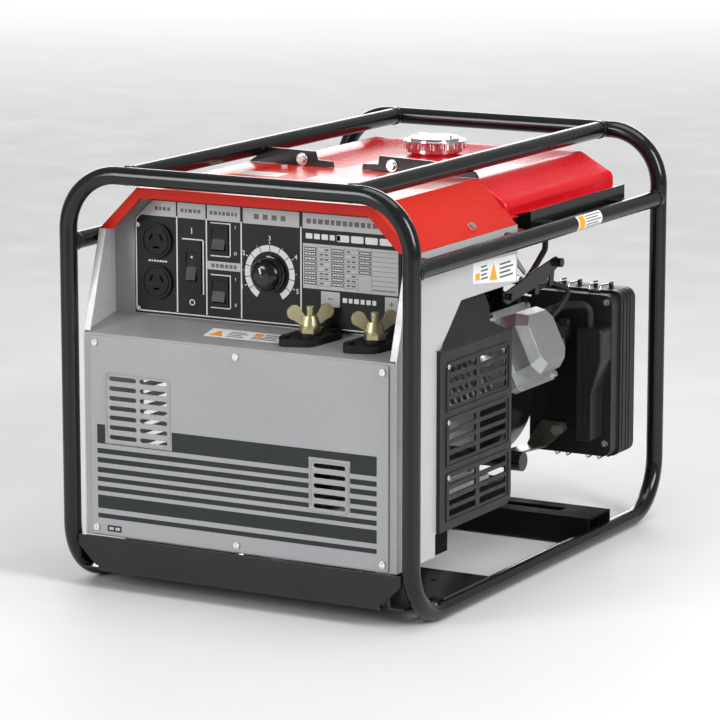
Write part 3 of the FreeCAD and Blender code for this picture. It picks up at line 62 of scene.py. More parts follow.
# -------------------------------------------------------------- materials
class Mat:
    """small helper around one procedural node tree"""

    def __init__(self, name):
        self.m = bpy.data.materials.new(name)
        self.m.use_nodes = True
        self.t = self.m.node_tree
        self.t.nodes.clear()
        self.out = self.t.nodes.new("ShaderNodeOutputMaterial")
        self.b = self.t.nodes.new("ShaderNodeBsdfPrincipled")
        self.t.links.new(self.b.outputs["BSDF"], self.out.inputs["Surface"])
        self.co = self.t.nodes.new("ShaderNodeTexCoord").outputs["Object"]

    def n(self, kind, **kw):
        q = self.t.nodes.new(kind)
        for k, v in kw.items():
            setattr(q, k, v)
        return q

    def link(self, a, b):
        self.t.links.new(a, b)

    def scaled(self, sx, sy, sz, rot=(0, 0, 0)):
        q = self.n("ShaderNodeMapping")
        q.inputs["Scale"].default_value = (sx, sy, sz)
        q.inputs["Rotation"].default_value = rot
        self.link(self.co, q.inputs["Vector"])
        return q.outputs["Vector"]

    def noise(self, scale, detail=4.0, rough=0.55, vec=None, dist=0.0):
        q = self.n("ShaderNodeTexNoise")
        q.inputs["Scale"].default_value = scale
        q.inputs["Detail"].default_value = detail
        q.inputs["Roughness"].default_value = rough
        q.inputs["Distortion"].default_value = dist
        self.link(vec or self.co, q.inputs["Vector"])
        return q.outputs["Fac"]

    def voronoi(self, scale, vec=None, feature="F1"):
        q = self.n("ShaderNodeTexVoronoi", feature=feature)
        q.inputs["Scale"].default_value = scale
        self.link(vec or self.co, q.inputs["Vector"])
        return q.outputs["Distance"]

    def wave(self, scale, direction="X", vec=None, dist=0.0):
        q = self.n("ShaderNodeTexWave", bands_direction=direction)
        q.inputs["Scale"].default_value = scale
        q.inputs["Distortion"].default_value = dist
        self.link(vec or self.co, q.inputs["Vector"])
        return q.outputs["Fac"]

    def remap(self, fac, a, b, c, d):
        q = self.n("ShaderNodeMapRange")
        for i, v in enumerate((a, b, c, d)):
            q.inputs[1 + i].default_value = v
        self.link(fac, q.inputs[0])
        return q.outputs[0]

    def math(self, op, a, b=None):
        q = self.n("ShaderNodeMath", operation=op)
        for i, v in enumerate((a, b)):
            if v is None:
                continue
            if isinstance(v, (int, float)):
                q.inputs[i].default_value = v
            else:
                self.link(v, q.inputs[i])
        return q.outputs[0]

    def mix(self, fac, a, b):
        q = self.n("ShaderNodeMix", data_type="RGBA")
        for sock, v in ((q.inputs[0], fac), (q.inputs[6], a), (q.inputs[7], b)):
            if isinstance(v, tuple):
                sock.default_value = (v[0], v[1], v[2], 1.0)
            elif isinstance(v, (int, float)):
                sock.default_value = v
            else:
                self.link(v, sock)
        return q.outputs[2]

    def edge(self, radius=0.0012):
        """1 along sharp edges, 0 on flats"""
        bev = self.n("ShaderNodeBevel", samples=4)
        bev.inputs["Radius"].default_value = radius
        geo = self.n("ShaderNodeNewGeometry")
        dot = self.n("ShaderNodeVectorMath", operation="DOT_PRODUCT")
        self.link(bev.outputs[0], dot.inputs[0])
        self.link(geo.outputs["Normal"], dot.inputs[1])
        self.bev = bev.outputs[0]
        return self.remap(dot.outputs["Value"], 0.97, 0.80, 0.0, 1.0)

    def bump(self, height, strength, distance=0.001, normal=None):
        q = self.n("ShaderNodeBump")
        q.inputs["Strength"].default_value = strength
        q.inputs["Distance"].default_value = distance
        self.link(height, q.inputs["Height"])
        if normal is not None:
            self.link(normal, q.inputs["Normal"])
        return q.outputs["Normal"]

    def set(self, **kw):
        names = {"base": "Base Color", "rough": "Roughness", "metal": "Metallic", "coat": "Coat Weight",
                 "coat_rough": "Coat Roughness", "spec": "Specular IOR Level", "normal": "Normal", "ior": "IOR",
                 "aniso": "Anisotropic", "sheen": "Sheen Weight", "coat_normal": "Coat Normal"}
        for k, v in kw.items():
            s = self.b.inputs[names[k]]
            if isinstance(v, tuple):
                s.default_value = (v[0], v[1], v[2], 1.0)
            elif isinstance(v, (int, float)):
                s.default_value = v
            else:
                self.link(v, s)
        return self


def paint(name, col, dark, rough, coat, metal=0.0, flake=0.0, peel=0.25, wear=0.25, under=(0.30, 0.30, 0.30),
          coat_rough=0.05, edge_r=0.0012, spec=0.5):
    """sprayed or powder coated sheet: slow colour drift, orange peel, rubbed edges"""
    k = Mat(name)
    drift = k.noise(6.0, 3.0)
    c = k.mix(k.remap(drift, 0.3, 0.7, 0.0, 1.0), col, dark)
    if flake:
        f = k.voronoi(2600.0)
        c = k.mix(k.remap(f, 0.0, 0.6, flake, 0.0), c, tuple(min(1.0, x * 1.5 + 0.06) for x in col))
        f2 = k.noise(1800.0, 2.0)
        c = k.mix(k.remap(f2, 0.45, 0.75, 0.0, flake), c, tuple(x * 0.72 for x in col))
    e = k.edge(edge_r)
    chips = k.remap(k.noise(120.0, 6.0, 0.7), 0.52, 0.68, 0.0, wear)
    worn = k.math("MULTIPLY", e, chips)
    scuff = k.noise(14.0, 8.0, 0.75, vec=k.scaled(1.0, 1.0, 6.0, (0.3, 0.1, 0.2)))
    c = k.mix(worn, c, under)
    smudge = k.remap(scuff, 0.35, 0.75, rough * 0.85, rough * 1.35)
    pe = k.noise(420.0, 2.0, 0.4)
    n = k.bump(pe, peel, 0.00022, k.bev)
    k.set(base=c, rough=smudge, metal=metal, coat=coat, coat_rough=coat_rough, normal=n, spec=spec)
    if coat:
        k.link(k.bump(k.noise(260.0, 2.0, 0.4), peel * 0.6, 0.00022, k.bev), k.b.inputs["Coat Normal"])
    return k.m


def plastic(name, col, rough, grain=0.5, scale=1400.0, spec=0.45, wear=0.15, edge_r=0.0010):
    """moulded plastic with spark-eroded grain and slightly polished edges"""
    k = Mat(name)
    drift = k.noise(9.0, 4.0)
    c = k.mix(k.remap(drift, 0.3, 0.7, 0.0, 1.0), col, tuple(x * 1.35 + 0.003 for x in col))
    e = k.edge(edge_r)
    c = k.mix(k.math("MULTIPLY", e, wear), c, tuple(x * 2.6 + 0.04 for x in col))
    r = k.remap(k.noise(45.0, 5.0, 0.6), 0.3, 0.7, rough * 0.85, rough * 1.2)
    g = k.noise(scale, 3.0, 0.6)
    k.set(base=c, rough=r, spec=spec, normal=k.bump(g, grain, 0.00016, k.bev))
    return k.m


def metal(name, col, tint, rough, brushed=None, cast=0.0, stain=0.3, pit=0.0, edge_r=0.0007, m=1.0):
    """bare or plated metal: brushing or casting skin, blotchy plating, brighter edges"""
    k = Mat(name)
    blot = k.noise(38.0, 6.0, 0.65)
    c = k.mix(k.remap(blot, 0.35, 0.7, 0.0, stain), col, tint)
    e = k.edge(edge_r)
    c = k.mix(k.math("MULTIPLY", e, 0.45), c, tuple(min(1.0, x * 1.3 + 0.05) for x in col))
    if brushed:
        line = k.noise(60.0, 3.0, 0.6, vec=k.scaled(*brushed))
        r = k.remap(line, 0.3, 0.7, rough * 0.8, rough * 1.35)
        h, st, ds = line, 0.12, 0.0002
    elif cast:
        fine = k.noise(900.0, 4.0, 0.6)
        r = k.remap(k.noise(160.0, 4.0), 0.3, 0.7, rough * 0.85, rough * 1.2)
        h, st, ds = fine, cast, 0.0003
    else:
        fine = k.noise(500.0, 3.0, 0.5)
        r = k.remap(blot, 0.3, 0.7, rough * 0.8, rough * 1.3)
        h, st, ds = fine, 0.10, 0.0002
    if pit:
        sp = k.remap(k.noise(300.0, 5.0, 0.7), 0.62, 0.75, 0.0, pit)
        c = k.mix(sp, c, tuple(x * 0.35 for x in tint))
    k.set(base=c, rough=r, metal=m, normal=k.bump(h, st, ds, k.bev))
    return k.m


MATS = {}
MATS["frame_black"] = paint("powder_black", (0.0040, 0.0048, 0.0050), (0.0065, 0.0072, 0.0074), 0.17, 0.12, peel=0.18,
                            wear=0.30, under=(0.10, 0.10, 0.10), coat_rough=0.09, spec=0.36)
MATS["panel_grey"] = paint("silver_paint", (0.335, 0.342, 0.352), (0.30, 0.308, 0.318), 0.40, 0.22, metal=0.30, flake=0.55,
                           peel=0.14, wear=0.12, under=(0.5, 0.5, 0.5), coat_rough=0.22)
# lighter copy of the silver paint for the side panels: painted light, the same paint drawn brighter where the light
# falls from the right
SIDE_GREY_PAINTED_LIGHT = paint("silver_paint_side_painted_light", (0.50, 0.505, 0.515), (0.46, 0.465, 0.475), 0.40, 0.22, metal=0.20, flake=0.45,
                  peel=0.14, wear=0.12, under=(0.5, 0.5, 0.5), coat_rough=0.22)
SATIN = paint("powder_satin", (0.0050, 0.0062, 0.0064), (0.008, 0.009, 0.0092), 0.70, 0.0, peel=0.22, wear=0.25,
              under=(0.10, 0.10, 0.10), spec=0.04)
MATS["cover_red"] = paint("orange_red_gloss", (0.53, 0.014, 0.005), (0.49, 0.012, 0.004), 0.30, 0.14, peel=0.12, wear=0.10,
                          under=(0.35, 0.05, 0.04), coat_rough=0.03, spec=0.14)
MATS["tank_red"] = paint("crimson_gloss", (0.60, 0.005, 0.014), (0.54, 0.004, 0.011), 0.28, 0.18, metal=0.0, flake=0.10,
                         peel=0.10, wear=0.06, under=(0.30, 0.03, 0.03), coat_rough=0.03, spec=0.16)
MATS["control_black"] = plastic("screened_plate", (0.0045, 0.0065, 0.0075), 0.38, grain=0.10, scale=900.0, wear=0.05, spec=0.25)
MATS["device_black"] = plastic("switch_black", (0.0045, 0.0045, 0.005), 0.36, grain=0.08, scale=700.0, spec=0.24, wear=0.10)
KNOB = plastic("knob_gloss", (0.004, 0.004, 0.0045), 0.12, grain=0.03, scale=500.0, spec=0.5, wear=0.10)
MATS["black_plastic"] = plastic("grained_black", (0.0085, 0.010, 0.0105), 0.40, grain=0.45, scale=1100.0, spec=0.36, wear=0.25)
MATS["zinc"] = metal("zinc_plate", (0.74, 0.74, 0.72), (0.55, 0.56, 0.58), 0.24, stain=0.5)
MATS["steel"] = metal("machined_steel", (0.50, 0.50, 0.51), (0.36, 0.34, 0.32), 0.34, brushed=(1.0, 40.0, 1.0), stain=0.5)
MATS["yellow_zinc"] = metal("yellow_passivate", (0.30, 0.33, 0.26), (0.22, 0.26, 0.20), 0.34, stain=0.8)
MATS["chrome"] = metal("chrome_cap", (0.80, 0.80, 0.81), (0.70, 0.70, 0.72), 0.10, stain=0.4)
MATS["brass"] = metal("cast_brass", (0.50, 0.45, 0.26), (0.34, 0.32, 0.20), 0.38, cast=0.30, stain=0.8, pit=0.5)
MATS["aluminium"] = metal("die_cast_aluminium", (0.50, 0.515, 0.515), (0.38, 0.395, 0.395), 0.36, cast=0.45, stain=0.5, pit=0.25,
                          m=0.85)
MATS["cast_iron"] = metal("cast_iron", (0.16, 0.16, 0.165), (0.11, 0.10, 0.095), 0.55, cast=0.6, stain=0.7)
MATS["rubber"] = plastic("rubber", (0.012, 0.012, 0.012), 0.60, grain=0.35, scale=600.0, spec=0.35, wear=0.10)
MATS["board"] = plastic("board_green", (0.02, 0.11, 0.04), 0.35, grain=0.3, scale=500.0)


def mat_copper():
    k = Mat("enamelled_copper_painted_light")
    w = k.wave(140.0, "X", vec=k.scaled(1.0, 0.15, 1.0), dist=1.5)
    # colour bands on the same wave as the bump: dark copper in the grooves between turns is painted shade, light copper
    # on the crowns is painted highlight
    c = k.mix(w, (0.20, 0.050, 0.016), (0.55, 0.20, 0.07))
    c = k.mix(k.remap(k.noise(70.0, 4.0), 0.4, 0.7, 0.0, 0.5), c, (0.12, 0.03, 0.012))
    k.set(base=c, rough=k.remap(k.noise(90.0), 0.3, 0.7, 0.22, 0.42), metal=0.7, coat=0.4,
          normal=k.bump(w, 0.6, 0.0006))
    return k.m


def mat_lamination():
    k = Mat("laminated_steel")
    w = k.wave(320.0, "Y", dist=0.2)
    c = k.mix(w, (0.12, 0.12, 0.13), (0.30, 0.30, 0.32))
    c = k.mix(k.remap(k.noise(60.0, 5.0), 0.45, 0.7, 0.0, 0.6), c, (0.16, 0.09, 0.05))
    k.set(base=c, rough=k.remap(k.noise(110.0), 0.3, 0.7, 0.38, 0.6), metal=0.8, normal=k.bump(w, 0.5, 0.0004))
    return k.m


def mat_filter():
    k = Mat("pleated_paper_painted_light")
    w = k.wave(160.0, "X")
    # pleat valleys darker and crests lighter on the same wave as the bump: painted shade in the folds, painted
    # highlight on the crests
    c = k.mix(w, (0.20, 0.16, 0.07), (0.42, 0.35, 0.20))
    k.set(base=c, rough=k.remap(k.noise(200.0), 0.3, 0.7, 0.75, 0.95), normal=k.bump(w, 0.8, 0.001))
    return k.m


MATS["copper"] = mat_copper()
MATS["lamination"] = mat_lamination()
MATS["filter"] = mat_filter()


def mat_print(name, col, fleck, rough=0.45):
    """screen-printed ink or label film: grain of the screen, thin spots, slight gloss change"""
    k = Mat(name)
    c = k.mix(k.remap(k.noise(30.0, 5.0, 0.6), 0.35, 0.7, 0.0, 0.6), col, fleck)
    c = k.mix(k.remap(k.noise(1600.0, 2.0), 0.55, 0.8, 0.0, 0.35), c, tuple(x * 0.8 for x in col))
    k.set(base=c, rough=k.remap(k.noise(70.0, 4.0), 0.3, 0.7, rough * 0.85, rough * 1.2), spec=0.4,
          normal=k.bump(k.noise(900.0, 2.0), 0.06, 0.0001))
    return k.m


INK_BLACK = mat_print("ink_black", (0.008, 0.011, 0.012), (0.013, 0.017, 0.018), 0.42)
INK_WHITE = mat_print("ink_white", (0.70, 0.70, 0.69), (0.62, 0.62, 0.62), 0.5)
INK_SILVER = mat_print("ink_silver", (0.46, 0.46, 0.455), (0.40, 0.40, 0.40), 0.45)
INK_GREY = mat_print("ink_grey", (0.10, 0.10, 0.095), (0.14, 0.14, 0.13), 0.5)
LABEL_WHITE = mat_print("label_white", (0.80, 0.80, 0.79), (0.72, 0.72, 0.71), 0.32)
LABEL_AMBER = mat_print("label_amber", (0.86, 0.36, 0.02), (0.80, 0.30, 0.02), 0.32)
LABEL_LINE = mat_print("label_line", (0.06, 0.06, 0.065), (0.10, 0.10, 0.10), 0.4)


def mat_weld():
    k = Mat("painted_weld")
    ripple = k.noise(300.0, 3.0, 0.5)
    c = k.mix(k.remap(ripple, 0.3, 0.7, 0.0, 1.0), (0.006, 0.007, 0.007), (0.014, 0.015, 0.015))
    k.set(base=c, rough=k.remap(k.noise(160.0), 0.3, 0.7, 0.22, 0.38), coat=0.4, normal=k.bump(ripple, 0.35, 0.0006))
    return k.m


WELD = mat_weld()

# every CAD node gets the material of its slot, save the nodes in OWN; the side panels there take the lighter
# painted-light copy of the silver paint
OWN = {"current_knob": KNOB, "side_panel_right": SIDE_GREY_PAINTED_LIGHT, "side_panel_left": SIDE_GREY_PAINTED_LIGHT, "engine_bed": SATIN,
       "rear_crossmember": SATIN}
slot_of = {}
for sub in frame["record"].get("subparts", []):
    slot_of[sub["node"]] = sub.get("material_slot")
for node, ob in frame["nodes"].items():
    mt = OWN.get(node) or MATS[slot_of[node]]
    if not ob.material_slots:
        ob.data.materials.append(mt)
    for s in ob.material_slots:
        s.material = mt


# ------------------------------------------------------------------ pieces
def add(name, verts, faces, mt, body="chassis", smooth=False):
    me = bpy.data.meshes.new(name)
    me.from_pydata([tuple(v) for v in verts], [], faces)
    me.validate()
    bm = bmesh.new()
    bm.from_mesh(me)
    bmesh.ops.recalc_face_normals(bm, faces=bm.faces)
    bm.to_mesh(me)
    bm.free()
    me.materials.append(mt)
    if smooth:
        for p in me.polygons:
            p.use_smooth = True
    ob = bpy.data.objects.new(name, me)
    scene.collection.objects.link(ob)
    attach(ob, body)
    return ob


def join(name, parts, mt, body="chassis", smooth=False):
    """one piece from several (verts, faces) lists"""
    V, F = [], []
    for v, f in parts:
        o = len(V)
        V += list(v)
        F += [tuple(i + o for i in q) for q in f]
    return add(name, V, F, mt, body, smooth)


def rounded(u0, u1, v0, v1, r, seg=5):
    r = min(r, (u1 - u0) / 2 - 1e-4, (v1 - v0) / 2 - 1e-4)
    pts = []
    if r <= 0.02:
        return [(u0, v0), (u1, v0), (u1, v1), (u0, v1)]
    for cx, cy, a0 in ((u1 - r, v0 + r, -90), (u1 - r, v1 - r, 0), (u0 + r, v1 - r, 90), (u0 + r, v0 + r, 180)):
        for i in range(seg + 1):
            a = math.radians(a0 + 90.0 * i / seg)
            pts.append((cx + r * math.cos(a), cy + r * math.sin(a)))
    return pts


def slab(pts, place, t):
    """flat outline pts (u, v) lifted by t along the third argument of place(u, v, w)"""
    n = len(pts)
    v = [place(u, w, 0.0) for u, w in pts] + [place(u, w, t) for u, w in pts]
    f = [tuple(range(n - 1, -1, -1)), tuple(range(n, 2 * n))]
    f += [(i, (i + 1) % n, n + (i + 1) % n, n + i) for i in range(n)]
    return v, f


def front(y):
    """outline on a plane that faces the front: u is X, v is Z"""
    return lambda u, v, w: P(u, y - w, v)


def top(z):
    return lambda u, v, w: P(u, v, z + w)


def right(x):
    return lambda u, v, w: P(x + w, u, v)


def minus(rect, holes):
    """rectangle less rectangles, as rectangles"""
    out = [rect]
    for h in holes:
        nxt = []
        for a in out:
            x0, x1, z0, z1 = a
            hx0, hx1, hz0, hz1 = h
            if hx1 <= x0 or hx0 >= x1 or hz1 <= z0 or hz0 >= z1:
                nxt.append(a)
                continue
            if hz0 > z0:
                nxt.append((x0, x1, z0, hz0))
            if hz1 < z1:
                nxt.append((x0, x1, hz1, z1))
            a0, a1 = max(z0, hz0), min(z1, hz1)
            if hx0 > x0:
                nxt.append((x0, hx0, a0, a1))
            if hx1 < x1:
                nxt.append((hx1, x1, a0, a1))
        out = nxt
    return out


T = 0.12                         # thickness of ink and label film, mm


def text_parts(s, size, place, t=T, align="CENTER"):
    """filled numeral or mark, as verts and faces on a plane; size is the letter height in mm"""
    cu = bpy.data.curves.new("t_" + str(len(bpy.data.curves)), "FONT")
    cu.body = s
    cu.size = size / 0.70
    cu.align_x = align
    cu.align_y = "CENTER"
    cu.extrude = t / 2.0
    cu.offset = 0.015 * size
    cu.resolution_u = 3
    ob = bpy.data.objects.new("t_tmp", cu)
    scene.collection.objects.link(ob)
    dg = bpy.context.evaluated_depsgraph_get()
    me = bpy.data.meshes.new_from_object(ob.evaluated_get(dg))
    v = [place(q.co.x, q.co.y, q.co.z + t / 2.0) for q in me.vertices]
    f = [tuple(p.vertices) for p in me.polygons]
    bpy.data.objects.remove(ob)
    bpy.data.curves.remove(cu)
    bpy.data.meshes.remove(me)
    return v, f


# lower front panel: bands and stripes, stopped at the raised vent frames
FY = -2.0
vents = [(-189.0, -92.0, 187.0, 279.0), (101.0, 158.0, 132.5, 200.5)]
X0, X1 = -200.6, 194.3
rows = [(186.0, 210.2), (173.4, 179.9), (161.7, 168.2), (149.2, 155.8), (137.9, 143.7), (125.8, 132.1), (103.8, 120.5),
        (91.4, 97.3)]
parts = []
for z0, z1 in rows:
    for r in minus((X0, X1, z0, z1), vents):
        if r[1] - r[0] > 1.0 and r[3] - r[2] > 0.6:
            parts.append(slab(rounded(*r, 0.6, 2), front(FY), T))
join("panel_stripes", parts, INK_BLACK)
parts = [slab(rounded(-187.0, -166.5, 75.2, 83.2, 1.0, 3), front(FY), 0.2)]
join("panel_tag", parts, INK_BLACK)
parts = [slab(rounded(-184.5 + 9.2 * i, -178.0 + 9.2 * i, 77.4, 81.0, 0.5, 2), front(FY - 0.2), 0.06) for i in range(2)]
join("panel_tag_marks", parts, INK_SILVER)

# control face
CY = 70.0
c = front(CY)
border = [(-186.6, 345.0), (-185.0, 345.0), (-185.0, 458.2), (-161.6, 482.8), (-162.8, 483.9), (-186.6, 458.9)]
parts = [slab(border, c, T)]
for x in (-126.4, -83.8, -34.0, 50.1):
    parts.append(slab(rounded(x - 0.9, x + 0.9, 346.0, 466.0, 0.0), c, T))
parts.append(slab(rounded(-184.0, 184.0, 343.6, 345.0, 0.0), c, T))
# brackets beside the switches
for z0, z1 in ((421.6, 462.4), (357.0, 398.0)):
    parts.append(slab(rounded(-50.6, -49.2, z0, z1, 0.0), c, T))
    parts.append(slab(rounded(-78.0, -50.6, z1 - 1.4, z1, 0.0), c, T))
parts.append(slab(rounded(-78.0, -50.6, 420.2, 421.6, 0.0), c, T))
parts.append(slab(rounded(-78.0, -50.6, 355.6, 357.0, 0.0), c, T))
parts.append(slab(rounded(-89.4, -87.8, 371.0, 438.6, 0.0), c, T))
parts.append(slab(rounded(-119.0, -89.4, 438.0, 439.6, 0.0), c, T))
join("control_lines", parts, INK_WHITE)
head = [[(-179.5, 464.5), (-127.6, 464.5), (-127.6, 483.6), (-162.6, 483.6)]]
for a, b in ((-125.2, -85.0), (-82.6, -35.4), (-31.4, 47.8), (52.6, 0)):
    if b:
        head.append([(a, 464.5), (b, 464.5), (b, 483.6), (a, 483.6)])
head.append([(52.6, 464.5), (179.4, 464.5), (162.4, 483.6), (52.6, 483.6)])
join("control_header", [slab(q, c, T) for q in head], INK_SILVER)
parts = [slab(rounded(-82.6, -35.4, 403.6, 414.0, 0.0), c, T)]
# spec table field
parts.append(slab(rounded(53.0, 184.0, 391.5, 446.5, 0.6, 2), c, T))
# polarity fields
parts.append(slab(rounded(78.0, 104.0, 371.0, 389.5, 0.8, 2), c, T))
parts.append(slab(rounded(166.0, 184.0, 371.0, 389.5, 0.8, 2), c, T))
join("control_fields", parts, INK_SILVER)
# rows of plain dashes stand where the machine carries lettering
c2 = front(CY - T)
parts = []


def dashes(x0, x1, z, h, widths, gap=1.4):
    x, i = x0, 0
    while x < x1 - 0.8:
        w = min(widths[i % len(widths)], x1 - x)
        parts.append(slab(rounded(x, x + w, z - h / 2, z + h / 2, 0.35, 2), c2, 0.05))
        x += w + gap
        i += 1


dashes(-158.0, -134.0, 474.0, 4.6, (4.2, 3.4, 5.0), 1.8)
dashes(-121.0, -90.0, 474.0, 4.6, (4.6, 3.4, 5.2, 4.0), 1.8)
dashes(-79.0, -40.0, 474.0, 4.6, (4.2, 5.0, 3.4), 1.8)
dashes(-16.0, 34.0, 474.0, 6.4, (7.0, 7.0), 5.6)
dashes(58.0, 166.0, 474.0, 6.2, (6.4, 5.2, 6.8), 2.2)
dashes(-77.0, -41.0, 408.8, 4.8, (5.0, 4.2, 5.6), 1.6)
for i in range(8):
    z = 440.0 - 5.9 * i
    for a, b in ((54.5, 72.0), (92.6, 109.6)):
        parts.append(slab(rounded(a, b, z - 2.5, z + 2.5, 0.3, 2), c2, 0.05))
for i in range(5):
    z = 440.0 - 5.9 * i
    parts.append(slab(rounded(130.2, 147.0, z - 2.5, z + 2.5, 0.3, 2), c2, 0.05))
for i in range(9):
    z = 443.0 - 5.9 * i
    parts.append(slab(rounded(73.4, 91.2, z - 0.28, z + 0.28, 0.0), c2, 0.05))
    parts.append(slab(rounded(111.0, 128.8, z - 0.28, z + 0.28, 0.0), c2, 0.05))
    parts.append(slab(rounded(148.4, 182.0, z - 0.28, z + 0.28, 0.0), c2, 0.05))
for i in range(8):
    z = 440.0 - 5.9 * i
    for a, b in ((76.0, 81.4), (83.0, 88.4), (113.5, 118.6), (120.4, 126.0)):
        if (i * 3 + int(a)) % 4:
            parts.append(slab(rounded(a, b, z - 1.1, z + 1.1, 0.3, 2), c2, 0.05))
for x in (72.8, 91.8, 110.4, 129.4, 147.8):
    parts.append(slab(rounded(x - 0.25, x + 0.25, 392.5, 445.5, 0.0), c2, 0.05))
dashes(150.0, 180.0, 396.5, 1.6, (1.8, 2.6), 0.9)
parts += [text_parts("−", 9.0, lambda u, v, w: P(91.0 + u, CY - T - w, 380.0 + v), 0.06),
          text_parts("+", 9.0, lambda u, v, w: P(175.0 + u, CY - T - w, 380.0 + v), 0.06)]
join("control_dark_marks", parts, INK_GREY)
parts = []
c3 = front(CY - T - 0.05)
for i in range(8):
    z = 440.0 - 5.9 * i
    for a in (56.0, 94.2):
        x = a
        for w in (2.2, 1.6, 2.6, 1.8, 2.0):
            parts.append(slab(rounded(x, x + w, z - 0.9, z + 0.9, 0.3, 2), c3, 0.04))
            x += w + 0.9
for i in range(5):
    z = 440.0 - 5.9 * i
    x = 132.0
    for w in (1.8, 2.4, 1.6, 2.2, 1.4):
        parts.append(slab(rounded(x, x + w, z - 0.9, z + 0.9, 0.3, 2), c3, 0.04))
        x += w + 0.9
# marks on the black ground
for s, size, x, z in (("I", 7.5, -105.0, 449.0), ("O", 7.5, -105.0, 359.6), ("I", 4.0, -42.5, 458.0), ("O", 4.0, -42.5, 425.5),
                      ("I", 4.0, -42.5, 393.5), ("II", 4.0, -42.5, 361.5)):
    parts.append(text_parts(s, size, lambda u, v, w, x=x, z=z: P(x + u, CY - w, z + v), T))
x = 57.0
for i, w in enumerate((9.0, 8.0, 9.0, 7.0, 5.0)):
    parts.append(slab(rounded(x, x + w, 452.5, 459.0, 0.8, 2), c, T))
    x += w + 2.4
x = 100.0
for i, w in enumerate((17.0, 17.0, 17.0, 17.0)):
    parts.append(slab(rounded(x, x + w, 451.4, 459.8, 1.4, 3), c, T))
    x += w + 2.6
x = -168.0
for w in (3.0, 2.2, 3.4, 2.6, 3.0, 2.4, 3.0):
    parts.append(slab(rounded(x, x + w, 406.9, 409.1, 0.4, 2), c, T))
    x += w + 1.2
x = 108.0
for w in (6.0, 5.0, 6.6, 5.4, 6.0, 5.0):
    parts.append(slab(rounded(x, x + w, 377.6, 383.4, 0.6, 2), c, T))
    x += w + 2.4
# dial scale: a broad ring in sectors, ticks and numerals
KX, KZ = 6.2, 404.8
for i in range(12):
    a0, a1 = -150.0 + 25.0 * i + 0.9, -150.0 + 25.0 * (i + 1) - 0.9
    pts = []
    for j in range(8):
        a = math.radians(a0 + (a1 - a0) * j / 7)
        pts.append((KX + 35.2 * math.sin(a), KZ + 35.2 * math.cos(a)))
    for j in range(7, -1, -1):
        a = math.radians(a0 + (a1 - a0) * j / 7)
        pts.append((KX + 27.6 * math.sin(a), KZ + 27.6 * math.cos(a)))
    parts.append(slab(pts, c, T))
for i in range(9):
    a = math.radians(-116.0 + 29.0 * i)
    s_, c_ = math.sin(a), math.cos(a)
    r1, w2 = (39.4, 0.5) if i % 2 == 0 else (38.0, 0.35)
    pts = [(KX + r * s_ + q * c_, KZ + r * c_ - q * s_) for r, q in ((36.4, -w2), (r1, -w2), (r1, w2), (36.4, w2))]
    parts.append(slab(pts, c, T))
for i in range(5):
    a = math.radians(-116.0 + 58.0 * i)
    x, z = KX + 43.4 * math.sin(a), KZ + 43.4 * math.cos(a)
    parts.append(text_parts(str(i + 1), 5.8, lambda u, v, w, x=x, z=z: P(x + u, CY - w, z + v), T))
join("control_light_marks", parts, INK_WHITE)

# pointer on the dial knob, following its domed front
prof = [(2.5, 49.1), (9.5, 49.7), (13.6, 51.6), (17.6, 54.7), (19.6, 59.4), (20.5, 65.0)]
v, f = [], []
for r, y in prof:
    for q, dy in ((-1.15, 0.0), (1.15, 0.0), (1.15, -0.3), (-1.15, -0.3)):
        a = math.radians(-18.0)
        v.append(P(KX + r * math.sin(a) + q * math.cos(a), y + dy + 0.1, KZ + r * math.cos(a) - q * math.sin(a)))
n = len(prof)
for i in range(n - 1):
    for j in range(4):
        f.append((4 * i + j, 4 * i + (j + 1) % 4, 4 * i + 4 + (j + 1) % 4, 4 * i + 4 + j))
f += [(3, 2, 1, 0), (4 * n - 4, 4 * n - 3, 4 * n - 2, 4 * n - 1)]
add("knob_pointer", v, f, INK_WHITE, "current_knob")

# white spot near the top of the breaker paddle
BX, BZ = -104.75, 404.35
spot = [(BX + 1.5 * math.cos(i * math.pi / 9), BZ + 12.4 + 1.5 * math.sin(i * math.pi / 9)) for i in range(18)]
join("breaker_spot", [slab(spot, front(69.25), 0.16)], INK_WHITE, "breaker_lever")

# black air guide over the cylinder, between the blower housing and the carburettor
gp = [(432.0, 284.0), (600.0, 280.0), (600.0, 301.0), (596.0, 304.0), (560.0, 312.5), (478.0, 333.0), (468.0, 336.5),
      (438.0, 338.0), (432.0, 333.0)]
parts = [slab(gp, right(104.0), 1.6)]
rib = [(440.0, 291.0), (590.0, 286.0), (590.0, 297.0), (556.0, 305.5), (474.0, 326.0), (440.0, 328.5)]
parts.append(slab(rib, right(105.6), 2.2))
edge_top = [(596.0, 304.0), (560.0, 312.5), (478.0, 333.0), (468.0, 336.5), (438.0, 338.0)]
V_, F_ = [], []
for y, z in edge_top:
    for dx, dz in ((105.6, 0.0), (104.6, 1.2), (86.0, 1.6), (86.0, 0.2), (104.0, -0.4)):
        V_.append(P(dx, y, z + dz))
for i in range(len(edge_top) - 1):
    for j in range(5):
        F_.append((5 * i + j, 5 * i + (j + 1) % 5, 5 * i + 5 + (j + 1) % 5, 5 * i + 5 + j))
F_ += [(4, 3, 2, 1, 0), tuple(5 * (len(edge_top) - 1) + j for j in range(5))]
parts.append((V_, F_))
join("air_guide", parts, MATS["frame_black"])

# labels on the body, plain fields and bars in place of wording
SHELF0, SHELF1 = 324.4, 339.5


def shelf(u, v, w):
    return P(u, v, SHELF0 + (SHELF1 - SHELF0) * v / 72.0 + 0.05 + w)


